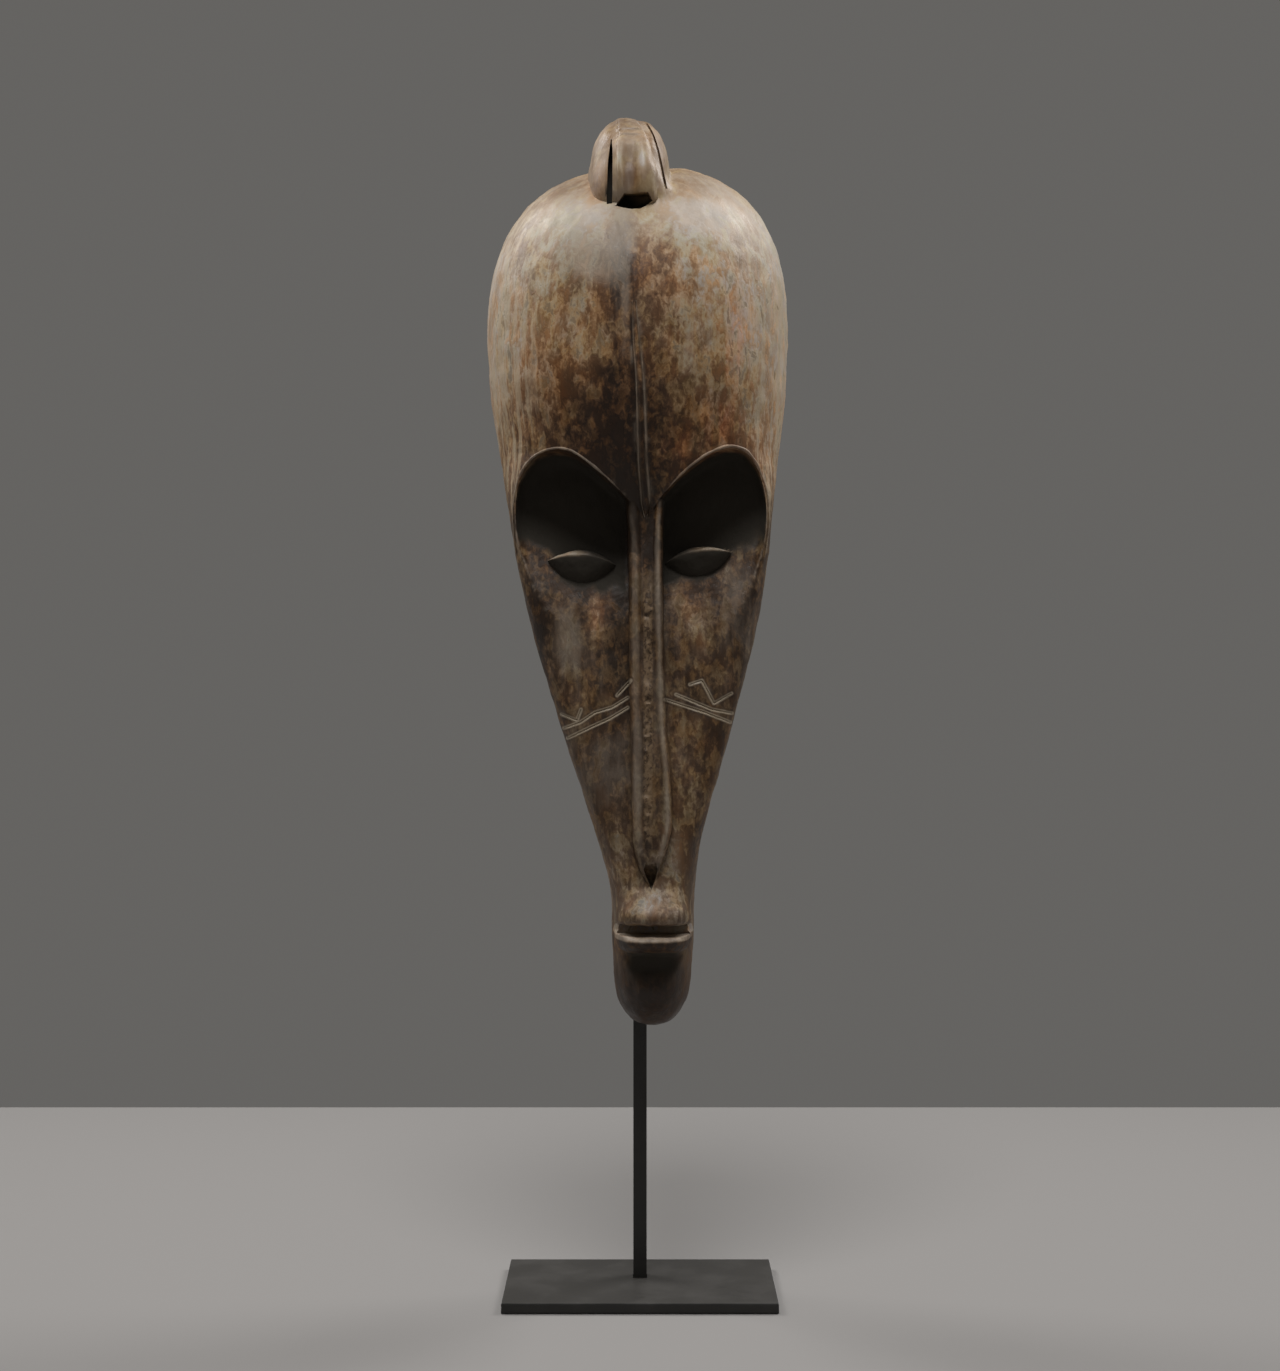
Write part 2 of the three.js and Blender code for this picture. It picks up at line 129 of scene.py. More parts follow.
# Rings of points joined in quads, and closed at each end by a fan to its middle. Faces are turned over
# if the signed volume, the sum of (a x b) . c, comes out negative.
def loftMesh(name, rings):
    ringCount, sideCount, _ = rings.shape
    points = np.concatenate([rings.reshape(-1, 3), rings[0].mean(0)[None], rings[-1].mean(0)[None]])
    grid = np.arange(ringCount * sideCount).reshape(ringCount, sideCount)
    after = np.roll(grid, -1, axis=1)
    quads = np.stack([grid[:-1], after[:-1], after[1:], grid[1:]], -1).reshape(-1, 4)
    fans = np.concatenate([pointsOf(grid.size, after[0], grid[0]),
                           pointsOf(grid.size + 1, grid[-1], after[-1])])
    a, b, c = points[np.concatenate([quads[:, :3], quads[:, [0, 2, 3]], fans]).T]
    if (np.cross(a, b) * c).sum() < 0:
        quads, fans = quads[:, ::-1], fans[:, ::-1]
    mesh = bpy.data.meshes.new(name)
    mesh.from_pydata((points * mm).tolist(), [], quads.tolist() + fans.tolist(), shade_flat=False)
    mesh.validate()
    return addObject(name, mesh)


# Adds a tool's shape to a solid or takes it away, and throws the tool out
def carve(target, tool, operation):
    cut = target.modifiers.new(tool.name, "BOOLEAN")
    cut.operation, cut.solver, cut.object = operation, "MANIFOLD", tool
    bpy.context.view_layer.objects.active = target
    bpy.ops.object.modifier_apply(modifier=cut.name)
    bpy.data.objects.remove(tool)


# The mask's block: heights above the table, widths from the leaning middle line, depths along Y
block = {
    "chinBottom": 200, "chinCentre": 243, "domeCentre": 715, "domeTop": 848,
    "chinRoundness": 2.25, "domeRoundness": 2.55, "profileRoundness": 2.2,
    "sides": through(
        (243, 28.9), (267, 30.1), (297, 30.5), (326, 34.9), (362, 44.2), (405, 57.2), (449, 70.3),
        (492, 82.4), (536, 91.3), (580, 97.9), (626, 105.6), (672, 112.6), (715, 115.3)),
    "midline": through(
        (200, 9), (290, 9.6), (345, 6.6), (430, 4.5), (510, 2.7), (600, 0), (720, -1.9), (790, -0.8),
        (848, 3)),
    "frontLine": through(
        (200, -62), (243, -66), (262, -69), (285, -73), (310, -70), (350, -67), (400, -63), (450, -60),
        (500, -57), (535, -57.5), (555, -61), (575, -67), (600, -76), (622, -84), (650, -93), (685, -99),
        (715, -100.5)),
    "backLine": through(
        (200, 6.7), (300, 6.7), (400, 14), (500, 30), (600, 48), (700, 64), (848, 72)),
    "squareness": through(
        (200, 2.4), (245, 2.8), (280, 3.3), (310, 4), (345, 5.5), (400, 8), (545, 8), (572, 6.5),
        (588, 5), (604, 3.8), (622, 3), (650, 2.6), (715, 2.4)),
}

# Lips, mouth slot and the scoop under the lower lip, as relief towards the viewer
mouth = {
    "lips": through(
        (236, 0), (260, 0), (262.3, 6), (265, 10.2), (268, 12), (270.2, 12.4), (271.4, 11.4), (273.4, 8),
        (274.4, -2), (276, -7), (280.2, -7), (281.6, 4), (283.2, 9), (287, 10), (297, 5), (308, 0)),
    "lipHalfWidth": through(
        (236, 13), (258, 14), (260.3, 18.5), (263.7, 25), (267.3, 27), (272, 28), (308, 28)),
    "scoop": through((232, 0), (241, 3), (250, 9), (257, 10), (260.5, 4), (262.5, 0)),
    "scoopHalfWidth": through((232, 8), (262, 25)),
    "slot": [(273.3, 26.6), (279.1, 24.7), (280.2, 23.9), (280.7, 22.5)],  # height and half width
    "slotDepth": (-112, -50),
}


# What is left of the full section in the rounded chin and dome
def shrink(z, domeRoundness):
    high = progress(block["domeCentre"], block["domeTop"], z)
    low = progress(block["chinCentre"], block["chinBottom"], z)
    return rounded(high, domeRoundness) * rounded(low, block["chinRoundness"])


def halfWidth(z):
    return block["sides"](z) * shrink(z, block["domeRoundness"])


def frontDepth(z):
    back = block["backLine"](z)
    return back + (block["frontLine"](z) - back) * shrink(z, block["profileRoundness"])


def mouthRelief(x, z):
    aside = np.abs(x - block["midline"](z))
    across = np.minimum(1, aside / mouth["lipHalfWidth"](z))
    scooped = np.minimum(1, aside / mouth["scoopHalfWidth"](z))
    return mouth["lips"](z) * np.sqrt(1 - across ** 6) - mouth["scoop"](z) * (1 - scooped ** 2)


# Depth of the uncut block at a place in the front view
def surfaceDepth(x, z):
    across = np.minimum(1, np.abs(x - block["midline"](z)) / np.maximum(halfWidth(z), 1e-6))
    back = block["backLine"](z)
    return back + (frontDepth(z) - back) * rounded(across, block["squareness"](z))


# Half a superellipse by its polar angle: the radius is (|sin|^n + |cos|^n)^(-1/n)
def halfRound(turn, power):
    s, c = np.sin(turn), np.cos(turn)
    radius = (np.abs(s) ** power + np.abs(c) ** power) ** (-1 / power)
    return radius * s, radius * np.maximum(c, 0)


# Heights that follow a rounded end evenly, from its pole to its centre
def roundedHeights(pole, centre, roundness, count):
    turn = steps(np.pi / 2 - 0.03, 0, count)
    return centre + (pole - centre) * np.sin(turn) ** (2 / roundness)


# The block: level half-superellipse sections, closed across the back, stacked by height
def makeBlock():
    z = np.concatenate([
        roundedHeights(block["chinBottom"], block["chinCentre"], block["chinRoundness"], 24),
        steps(245, 259, 7), steps(260, 284, 40), steps(285.5, 309, 14), steps(312, 540, 100),
        steps(542, 650, 60), steps(652.5, 712, 24),
        roundedHeights(block["domeTop"], block["domeCentre"], block["domeRoundness"], 58)[::-1],
    ])[:, None]
    t = steps(-1, 1, 150)[None, :]
    turn = np.pi / 2 * (0.6 * t + 0.4 * t ** 3)
    across, along = halfRound(turn, block["squareness"](z))
    x = block["midline"](z) + halfWidth(z) * across
    back = block["backLine"](z)
    y = back + (frontDepth(z) - back) * along - mouthRelief(x, z)
    across = steps(1, -1, 9)[None, 1:-1]
    rear = pointsOf(block["midline"](z) + halfWidth(z) * across, back, z)
    return loftMesh("mask", np.concatenate([pointsOf(x, y, z), rear], 1))


# The hollow, with smaller sections of its own, pushed out past the back plane
hollow = {
    "bottom": 264, "low": 300, "top": 834, "wall": 13, "past": 6, "roundness": 2.2,
    "front": through(
        (264, -34), (320, -44), (400, -46), (480, -42), (545, -32), (590, -22), (620, -21), (650, -45),
        (690, -73), (715, -81)),
    "gougeWidth": 13, "gougeDepth": 2.4, "gougeEnds": (812, 780),
}


def makeHollow():
    z = np.concatenate([
        roundedHeights(hollow["bottom"], hollow["low"], hollow["roundness"], 10), steps(304, 711, 110),
        roundedHeights(hollow["top"], block["domeCentre"], block["domeRoundness"], 34)[::-1],
    ])[:, None]
    low = progress(hollow["low"], hollow["bottom"], z)
    high = progress(block["domeCentre"], hollow["top"], z)
    foot = rounded(low, hollow["roundness"])
    wide = block["sides"](np.maximum(z, hollow["low"])) - hollow["wall"]
    wide = (wide + 3 * ease(365, 330, z)) * foot * rounded(high, block["domeRoundness"])
    deep = foot * rounded(high, hollow["roundness"])
    turn = steps(-np.pi / 2, np.pi / 2, 96)[None, :]
    across, along = halfRound(turn, np.minimum(3, block["squareness"](z)))
    back = block["backLine"](z)
    # gouge cuts run down it side by side: |sin| of the way round, bent by slow waves
    girth = turn * np.hypot(wide, deep * (back - hollow["front"](z))) / hollow["gougeWidth"]
    cuts = np.abs(np.sin(1.6 * girth + 1.3 * np.sin(z / 31 + 2 * turn) + 0.8 * np.sin(z / 12.5 + 5 * turn)))
    cuts = cuts * ease(*hollow["gougeEnds"], z)
    cuts = 1 - hollow["gougeDepth"] * cuts * np.cos(turn) ** 0.5 / np.maximum(wide, 12)
    x = block["midline"](z) + wide * across * cuts
    y = back + (hollow["front"](z) - back) * deep * along * cuts
    return loftMesh("hollow", sheet(x, y, z, back + hollow["past"]))


# The sunk face: the heart in the front view, and how deep its floor lies by height
face = {
    "centre": (2.5, 520), "rim": -90, "roundingFrom": 0.82,
    "heart": [
        (3, 574), (-6, 583), (-15, 592.5), (-28, 604.5), (-40, 614), (-50, 620), (-63, 621.5),
        (-77, 616.5), (-86, 605), (-91, 588), (-91.5, 563), (-87, 535), (-76, 500), (-60, 470),
        (2.5, 440), (62, 470), (79, 500), (88.5, 538), (93, 565), (92.5, 588), (88, 604), (82.5, 614.5),
        (75, 621.5), (64, 623.5), (54.5, 620.5), (35, 608), (17, 590)],
    "floor": through(
        (430, -72), (460, -61), (475, -58.6), (490, -57.4), (500, -56.2), (511, -53.8), (530, -48.5),
        (550, -42.5), (575, -37), (600, -35), (640, -33)),
}


# A closed curve through points, in cubics over the chords. The slope at a point is that of the
# parabola through it and its two neighbours.
def closedCurve(corners, share):
    p = np.array(corners, float)
    chord = np.linalg.norm(np.roll(p, -1, 0) - p, axis=1)
    knots = np.concatenate([[0], np.cumsum(chord)])
    slope = (np.roll(p, -1, 0) - p) / chord[:, None]
    before, chordBefore = np.roll(slope, 1, 0), np.roll(chord, 1)
    tangent = (before * chord[:, None] + slope * chordBefore[:, None]) / (chord + chordBefore)[:, None]
    s = np.asarray(share) * knots[-1]
    i = np.clip(np.searchsorted(knots, s, "right") - 1, 0, len(p) - 1)
    j = (i + 1) % len(p)
    t = ((s - knots[i]) / chord[i])[:, None]
    return cubic(t, chord[i][:, None], p[i], p[j], tangent[i], tangent[j])


# The tool that sinks the face: the heart scaled towards its centre, ring by ring. Its depth goes from
# rim to floor as (1 - u^4)^(1/4), and u from 1 at the outline to 0 inside it.
def makeFaceCutter():
    outline = closedCurve(face["heart"], np.arange(380) / 380)[None]
    scale = np.concatenate([[1.02], steps(1, 0.9, 14), steps(0.89, 0.05, 26)])[:, None, None]
    centre = np.array(face["centre"], float)
    xz = centre + scale * (outline - centre)
    u = progress(face["roundingFrom"], 1, scale[..., 0])
    depth = face["rim"] + (face["floor"](xz[..., 1]) - face["rim"]) * rounded(u, 4)
    depth[0] = -150
    return loftMesh("sunk face", pointsOf(xz[..., 0], depth, xz[..., 1]))


# How far out a place lies in the heart: 0 at its centre and 1 on its outline
def heartShare(x, z):
    outline = closedCurve(face["heart"], np.arange(720) / 720) - face["centre"]
    turn = np.arctan2(outline[:, 1], outline[:, 0])
    order = np.argsort(turn)
    reach = np.interp(np.arctan2(z - face["centre"][1], x - face["centre"][0]), turn[order],
                      np.hypot(*outline[order].T), period=2 * np.pi)
    return np.hypot(x - face["centre"][0], z - face["centre"][1]) / reach


# The thin raised rim along a brow: a round bead on the heart outline, thinner at both ends
brow = {"bead": 1.05, "sunk": 0.15, "left": (0.035, 0.34), "right": (0.69, 0.965)}


def makeBrowRim(name, start, end):
    x, z = closedCurve(face["heart"], steps(start, end, 130)).T
    path = pointsOf(x, surfaceDepth(x, z) + brow["sunk"], z)
    ahead = unit(np.gradient(path, axis=0))
    side = unit(np.cross(ahead, [0, -1, 0]))
    up = np.cross(side, ahead)
    thin = np.minimum(1, 0.25 + 7 * np.minimum(steps(0, 1, 130), steps(1, 0, 130)))
    round_ = np.arange(12) * 2 * np.pi / 12
    offset = side[:, None] * np.cos(round_)[None, :, None] + up[:, None] * np.sin(round_)[None, :, None]
    return loftMesh(name, path[:, None] + offset * (brow["bead"] * thin)[:, None, None])


# The nose: a long bar with a rounded rail along each of its two edges
nose = {
    "foot": -30, "leftRail": 8.5, "rightRail": 6.5, "channel": 2.4, "edge": 2.8,
    "left": through(
        (307, 7.2), (318, 1), (337, -4.5), (355, -5.5), (427, -6.5), (450, -7.6), (550, -7.8), (586, -9.4)),
    "right": through(
        (307, 8.2), (318, 13), (337, 19.4), (355, 22.8), (395, 21.3), (427, 18.5), (480, 17), (550, 16),
        (586, 17)),
    "front": through(
        (307, -70.6), (318, -72.5), (332, -76), (350, -79), (385, -80), (450, -77), (530, -73),
        (560, -70.5), (586, -70)),
    "crust": (5.6, 4.4, 330, 535),  # middle, half width, lowest and highest of the rough strip
    "lumps": ((0.9, 16, 10), (0.7, 7, 11), (0.6, 3, 12)),  # height, size and seed
    # the pit at the tip, a triangle that points down: (height, left, right, front, back)
    "pit": [(328, 4.6, 11.4, -95, -76), (321, 2.4, 12.6, -95, -68), (315, 4.8, 11.2, -95, -63),
            (311, 6.6, 9.9, -95, -62), (307, 8, 8.9, -95, -66)],
}


# Depth across the nose: its front line, set back by the channel except where 1 - d^2 of either rail
# lifts it, rounded off at the edges, with the rough strip as lumps in the channel
def makeNose():
    z = np.concatenate([steps(307, 330, 16), steps(332, 535, 140), steps(538, 586, 20)])[:, None]
    share = steps(0, 1, 40)[None, :]
    left, right = nose["left"](z), nose["right"](z)
    open_ = np.minimum(1, (right - left) / 20)
    x = left + (right - left) * share

    def rail(distance, width):
        middle = (distance - width * open_ / 2) / (width * open_ / 2)
        return np.clip(1 - middle ** 2, 0, 1)

    lift = np.maximum(rail(x - left, nose["leftRail"]), rail(right - x, nose["rightRail"]))
    y = nose["front"](z) + nose["channel"] * ease(311, 336, z) * (1 - lift)
    edge = np.clip(np.minimum(x - left, right - x) / nose["edge"], 0, 1)
    y = y + nose["edge"] * (1 - np.sqrt(1 - (1 - edge) ** 2))
    middle, half, low, high = nose["crust"]
    points = pointsOf(x, 0, z).reshape(-1, 3)
    lumps = sum(height * unevenness(points, size, seed) for height, size, seed in nose["lumps"])
    where = ease(1, 0.4, np.abs(x - middle) / half) * between(z, low, low + 20, high - 30, high)
    y = y - where * np.clip(0.5 + 0.6 * lumps.reshape(x.shape), 0, 1.7)
    return loftMesh("nose", sheet(x, y, z, nose["foot"], apart=1.8))


# The strip on the forehead: two raised lines that run down between the brows
strip = {
    "middle": through((572, 4.2), (584, 3.9), (612, 1.8), (639, 1), (667, 0), (695, -2.5), (722, -4)),
    "half": through((572, 0.8), (585, 4.2), (639, 4), (667, 3.7), (695, 3), (722, 1.4)),
    "height": through((572, 1.4), (584, 3.8), (667, 3.4), (700, 2.6), (722, 0.8)),
}


def makeStrip():
    z = steps(572, 722, 110)[:, None]
    u = steps(-1, 1, 24)[None, :]
    x = strip["middle"](z) + strip["half"](z) * u
    ridge = bell((np.abs(u) - 0.72) / 0.2)
    base = surfaceDepth(strip["middle"](z), z)
    y = base - strip["height"](z) * (0.4 + 0.6 * ridge) * ease(1.02, 0.9, np.abs(u))
    return loftMesh("forehead strip", sheet(x, y, z, base + 6))


# A closed eye: an almond whose height at a share s of its length is 1 - s^2 of the full one. It stands
# out by the bulge, from the upper edge, 0, to the lower, 1.
eyes = {
    "top": 8, "bottom": -13.5, "rise": 12.5,
    "bulge": through(
        (0, 0), (0.05, 0.62), (0.15, 1), (0.3, 0.97), (0.55, 0.82), (0.8, 0.6), (0.93, 0.38), (1, 0)),
    "left": {"x": -42, "z": 541.3, "halfLength": 25, "tilt": -0.07, "depth": -44, "fullness": 1.19},
    "right": {"x": 42, "z": 544.8, "halfLength": 25, "tilt": 0.17, "depth": -43, "fullness": 1.05},
}


# Where a place falls on an eye: the share along it, and down it from the upper edge
def eyePlace(x, z, eye):
    dx, dz = x - eye["x"], z - eye["z"]
    s = (dx * np.cos(eye["tilt"]) + dz * np.sin(eye["tilt"])) / eye["halfLength"]
    up = (dz * np.cos(eye["tilt"]) - dx * np.sin(eye["tilt"])) / eye["fullness"]
    return s, (eyes["top"] - up / np.maximum(1 - s ** 2, 0.05)) / (eyes["top"] - eyes["bottom"])


def makeEye(name, x, z, halfLength, tilt, depth, fullness):
    s = steps(-0.985, 0.985, 46)[:, None]
    q = steps(0, 1, 26)[None, :]
    open_ = 1 - s ** 2
    up = fullness * open_ * (eyes["top"] + (eyes["bottom"] - eyes["top"]) * q)
    out = eyes["rise"] * np.sqrt(open_) * eyes["bulge"](q)
    along, out, up = np.moveaxis(sheet(s * halfLength, -out, up, 8), -1, 0)
    return loftMesh(name, pointsOf(x + along * np.cos(tilt) - up * np.sin(tilt), depth + out,
                                   z + along * np.sin(tilt) + up * np.cos(tilt)))


# The topknot: a lobe and a lower pair of wings, arched back over the crown. At each angle round the
# side axis a half superellipse stands on that axis.
topknot = {
    "axis": (-10, 800),
    "reach": through(
        (-30, 48), (-10, 57), (-5, 62), (0, 67), (8, 70), (20, 71.5), (45, 71.5), (65, 71), (90, 71),
        (120, 69), (150, 64), (180, 54), (220, 40)),
    "wings": {
        "middle": through((0, -7.8), (180, -7.8)), "half": through((0, 30.6), (180, 30.6)),
        "drop": through((-30, 6), (0, 6), (40, 3.5), (75, 1), (130, 2), (220, 4)),
        "leftPower": through((0, 3), (180, 3)), "power": 3, "flare": 9},
    "lobe": {
        "middle": through((0, 0.1), (17, -1.7), (36, -4.4), (55, -8), (72, -10), (90, -11), (180, -9)),
        "half": through((0, 19.2), (17, 17.5), (36, 15.2), (55, 12.5), (72, 11), (90, 10.5), (180, 9)),
        "drop": through((0, 0), (180, 0)),
        "leftPower": through((0, 6), (30, 6), (48, 4.4), (180, 4.4)), "power": 6, "flare": 0},
    # the left slot: (height, left, right, front, back)
    "slot": [(797, -23.8, -20, -95, -58), (803, -23.8, -19.5, -95, -58), (826, -23.2, -19.4, -95, -50),
             (836, -22, -19.6, -95, -46), (846, -21, -20.4, -95, -44)],
    # the right groove, by height: its front, its back and its middle
    "groove": [(873, -48, -18, 1.5), (862, -60, -34, 5), (850, -70, -47, 9.5), (838, -78, -53, 13),
               (825, -82, -52, 15.8), (808, -84, -46, 18.9)],
    "grooveWidth": 1.7, "footBlend": 4, "shoulderBlend": 1.4, "flareEnds": (26, 2),
    # the lobe's worn front, with its depth, middle and power, and the two steps cut in it, by angle
    "worn": (4.6, -7, 2.6), "wornHalf": through((0, 8.5), (12, 7.6), (35, 6.4), (60, 4)),
    "cutDepth": 0.8, "cutMiddle": -9, "cutSteps": ((42.5, 48.2), (34, 42.5)),
    "hole": [(-18.4, 793.5), (-11.5, 803), (5.7, 803.5), (9.3, 798), (4.5, 794.3), (0, 792.3),
             (-5.5, 791.2), (-11.5, 791.8)],
    "holeDepth": [[-95], [-52]],
}


def archReach(part, detail, x, angle, along):
    return along * (topknot["reach"](angle) - part["drop"](angle)) + detail(x, angle, along)


def makeArch(name, part, detail):
    angle = np.concatenate([steps(-30, 33, 28), steps(34, 52, 45), steps(54, 220, 70)])[:, None]
    turn = np.radians(angle)
    round_ = steps(-np.pi / 2, np.pi / 2, 80)[None, :]
    across, along = halfRound(round_, np.where(round_ < 0, part["leftPower"](angle), part["power"]))
    x = part["middle"](angle) + part["half"](angle) * across
    x = x + part["flare"] * ease(*topknot["flareEnds"], angle) * np.maximum(0, across) ** 2
    out = np.maximum(1, archReach(part, detail, x, angle, along))
    y, z = topknot["axis"]
    return loftMesh(name, pointsOf(x, y - out * np.cos(turn), z + out * np.sin(turn)))


# The lobe's front is worn hollow, under two cut steps: below each the surface lies back, and comes
# forward again towards the next
def lobeDetail(x, angle, along):
    depth, middle, power = topknot["worn"]
    worn = depth * np.exp(-np.abs((x - middle) / topknot["wornHalf"](angle)) ** power)
    worn = worn * ease(44, 22, angle)
    aslant = 0.16 * np.maximum(0, x - 1) ** 1.5 * ease(60, 20, angle)
    cuts = sum(between(angle, low, high, high + 0.1, high + 1.2) for low, high in topknot["cutSteps"])
    cuts = topknot["cutDepth"] * cuts * ease(11, 6.5, np.abs(x - topknot["cutMiddle"]))
    runOut = 6 * ease(9, 16, x) * ease(22, 2, angle)
    return -(worn + cuts) * ease(0.7, 0.95, along) - aslant - runOut


# The wings are fuller at the left foot, where they end short, and on the upper right
def wingDetail(x, angle, along):
    left = 1.2 * bell((x + 31) / 7) * bell((angle - 8) / 9)
    return left + 2.5 * ease(2, 9, x) * bell((angle - 48) / 16)


# What a smooth maximum adds to the larger of two: w ln(1 + exp(-|difference| / w))
def filletLift(difference, width):
    return width * np.log1p(np.exp(-np.abs(difference) / width))


# The topknot's right foot runs out into the crown, and its left shoulder into the lobe. Each point is
# raised along its ray from the axis, by how near the two surfaces are to each other.
def blendTopknot(x, y, z):
    axisY, axisZ = topknot["axis"]
    out = np.hypot(y - axisY, z - axisZ)
    turn = np.arctan2(z - axisZ, axisY - y)
    angle = np.clip(np.degrees(turn), -30, 220)
    reaches = []
    for part, detail in ((topknot["wings"], wingDetail), (topknot["lobe"], lobeDetail)):
        aside = x - part["middle"](angle)
        flare = part["flare"] * ease(*topknot["flareEnds"], angle) * (aside > 0)
        half = part["half"](angle)
        across = 2 * np.abs(aside) / (half + np.sqrt(half ** 2 + 4 * flare * np.abs(aside)))
        power = np.where(aside < 0, part["leftPower"](angle), part["power"])
        along = rounded(np.minimum(1, across), power)
        reaches.append(archReach(part, detail, x, angle, along))
    wing, lobe = reaches
    knot = np.maximum(wing, lobe)
    slope = (surfaceDepth(x, z + 1) - surfaceDepth(x, z - 1)) / 2
    crown = out - (surfaceDepth(x, z) - y) / np.maximum(0.3, np.cos(turn) + slope * np.sin(turn))
    lift = filletLift(knot - crown, topknot["footBlend"])
    lift = lift * ease(9, 15, x) * ease(75, 45, angle) * (y < axisY) * (z > 770)
    shoulder = filletLift(wing - lobe, topknot["shoulderBlend"]) * ease(3.5, 1, np.abs(out - knot))
    lift = lift + shoulder * ease(26, 36, angle) * ease(-5, -9, x)
    return -lift * np.cos(turn), lift * np.sin(turn)


# Level rings from (height, left, right, front, back) rows
def cutter(name, rows):
    rings = [[(left, front, z), (right, front, z), (right, back, z), (left, back, z)]
             for z, left, right, front, back in rows]
    return loftMesh(name, np.array(rings, float))


def makeTopknot():
    knot = makeArch("topknot", topknot["lobe"], lobeDetail)
    carve(knot, makeArch("wings", topknot["wings"], wingDetail), "UNION")
    half = topknot["grooveWidth"] / 2
    rows = [(z, x - half, x + half, front, back) for z, front, back, x in topknot["groove"]]
    carve(knot, cutter("groove", rows), "DIFFERENCE")
    return knot


# The hole's outline, carried straight back and one in ten upwards
def makeHole():
    x, z = np.array(topknot["hole"], float).T
    y = np.array(topknot["holeDepth"])
    return loftMesh("hole", pointsOf(x, y, z + (y + 80) * 0.1))


def makeMouthSlot():
    x = block["midline"]
    rows = [(z, x(z) - half, x(z) + half, *mouth["slotDepth"]) for z, half in mouth["slot"]]
    return cutter("mouth slot", rows)


# Cut scars on the cheeks: thin wedge-shaped grooves through (x, z) points
scars = {
    "width": 2.0, "depth": 0.9,
    "fade": (0.35, 0.95), "shadowFade": (0.8, 1.9),  # in widths, out from the middle
    "lines": [
        [(-55.3, 421.6), (-43.1, 425.9), (-32.3, 433.1), (-20.1, 436.7), (-8.6, 443.9)],
        [(-52.4, 414.4), (-35.9, 422.3), (-21.6, 428.8), (-8.6, 436.7)],
        [(-56.8, 431.7), (-45.3, 427.4), (-42.4, 435.3)],
        [(-16.5, 445.3), (-6.5, 456.1)],
        [(25.9, 446), (51.7, 435.3), (66.8, 432.4)],
        [(18, 442.4), (46.7, 433.1), (65.4, 425.9)],
        [(35.9, 453.2), (44.5, 456.1), (53.2, 439.6), (66.1, 446.8)]],
}


# A scar's tool: a triangle, point inwards, carried evenly along the line and thinner at both ends
def makeScar(corners):
    corners = np.array(corners, float)
    knots = np.concatenate([[0], np.cumsum(np.hypot(*np.diff(corners, axis=0).T))])
    p = np.stack([np.interp(steps(0, knots[-1], 30), knots, side) for side in corners.T], -1)
    ahead = unit(np.gradient(p, axis=0))
    thin = np.sin(np.pi * steps(0.03, 0.97, 30)[:, None]) ** 0.35
    side = np.array([-1, 0, 1]) * (scars["width"] * 1.1 * thin)
    x = p[:, :1] - ahead[:, 1:] * side
    z = p[:, 1:] + ahead[:, :1] * side
    y = surfaceDepth(p[:, :1], p[:, 1:]) + np.array([-1.2, scars["depth"], -1.2]) * thin
    return loftMesh("scar", pointsOf(x, y, z))


def makeMask():
    mask = makeBlock()
    carve(mask, makeFaceCutter(), "DIFFERENCE")
    sides = "left", "right"
    raised = [makeNose(), makeStrip(), *[makeBrowRim(side + " brow rim", *brow[side]) for side in sides],
              *[makeEye(side + " eye", **eyes[side]) for side in sides], makeTopknot()]
    for tool in raised:
        carve(mask, tool, "UNION")
    cuts = [cutter("slot", topknot["slot"]), makeHole(), cutter("pit", nose["pit"]), makeMouthSlot()]
    for tool in [*cuts, *map(makeScar, scars["lines"]), makeHollow()]:
        carve(mask, tool, "DIFFERENCE")
    return mask


mask = makeMask()
mask.name = mask.data.name = "carved_mask"
mask.data.calc_loop_triangles()
print("mask carved:", len(mask.data.loop_triangles), "triangles")
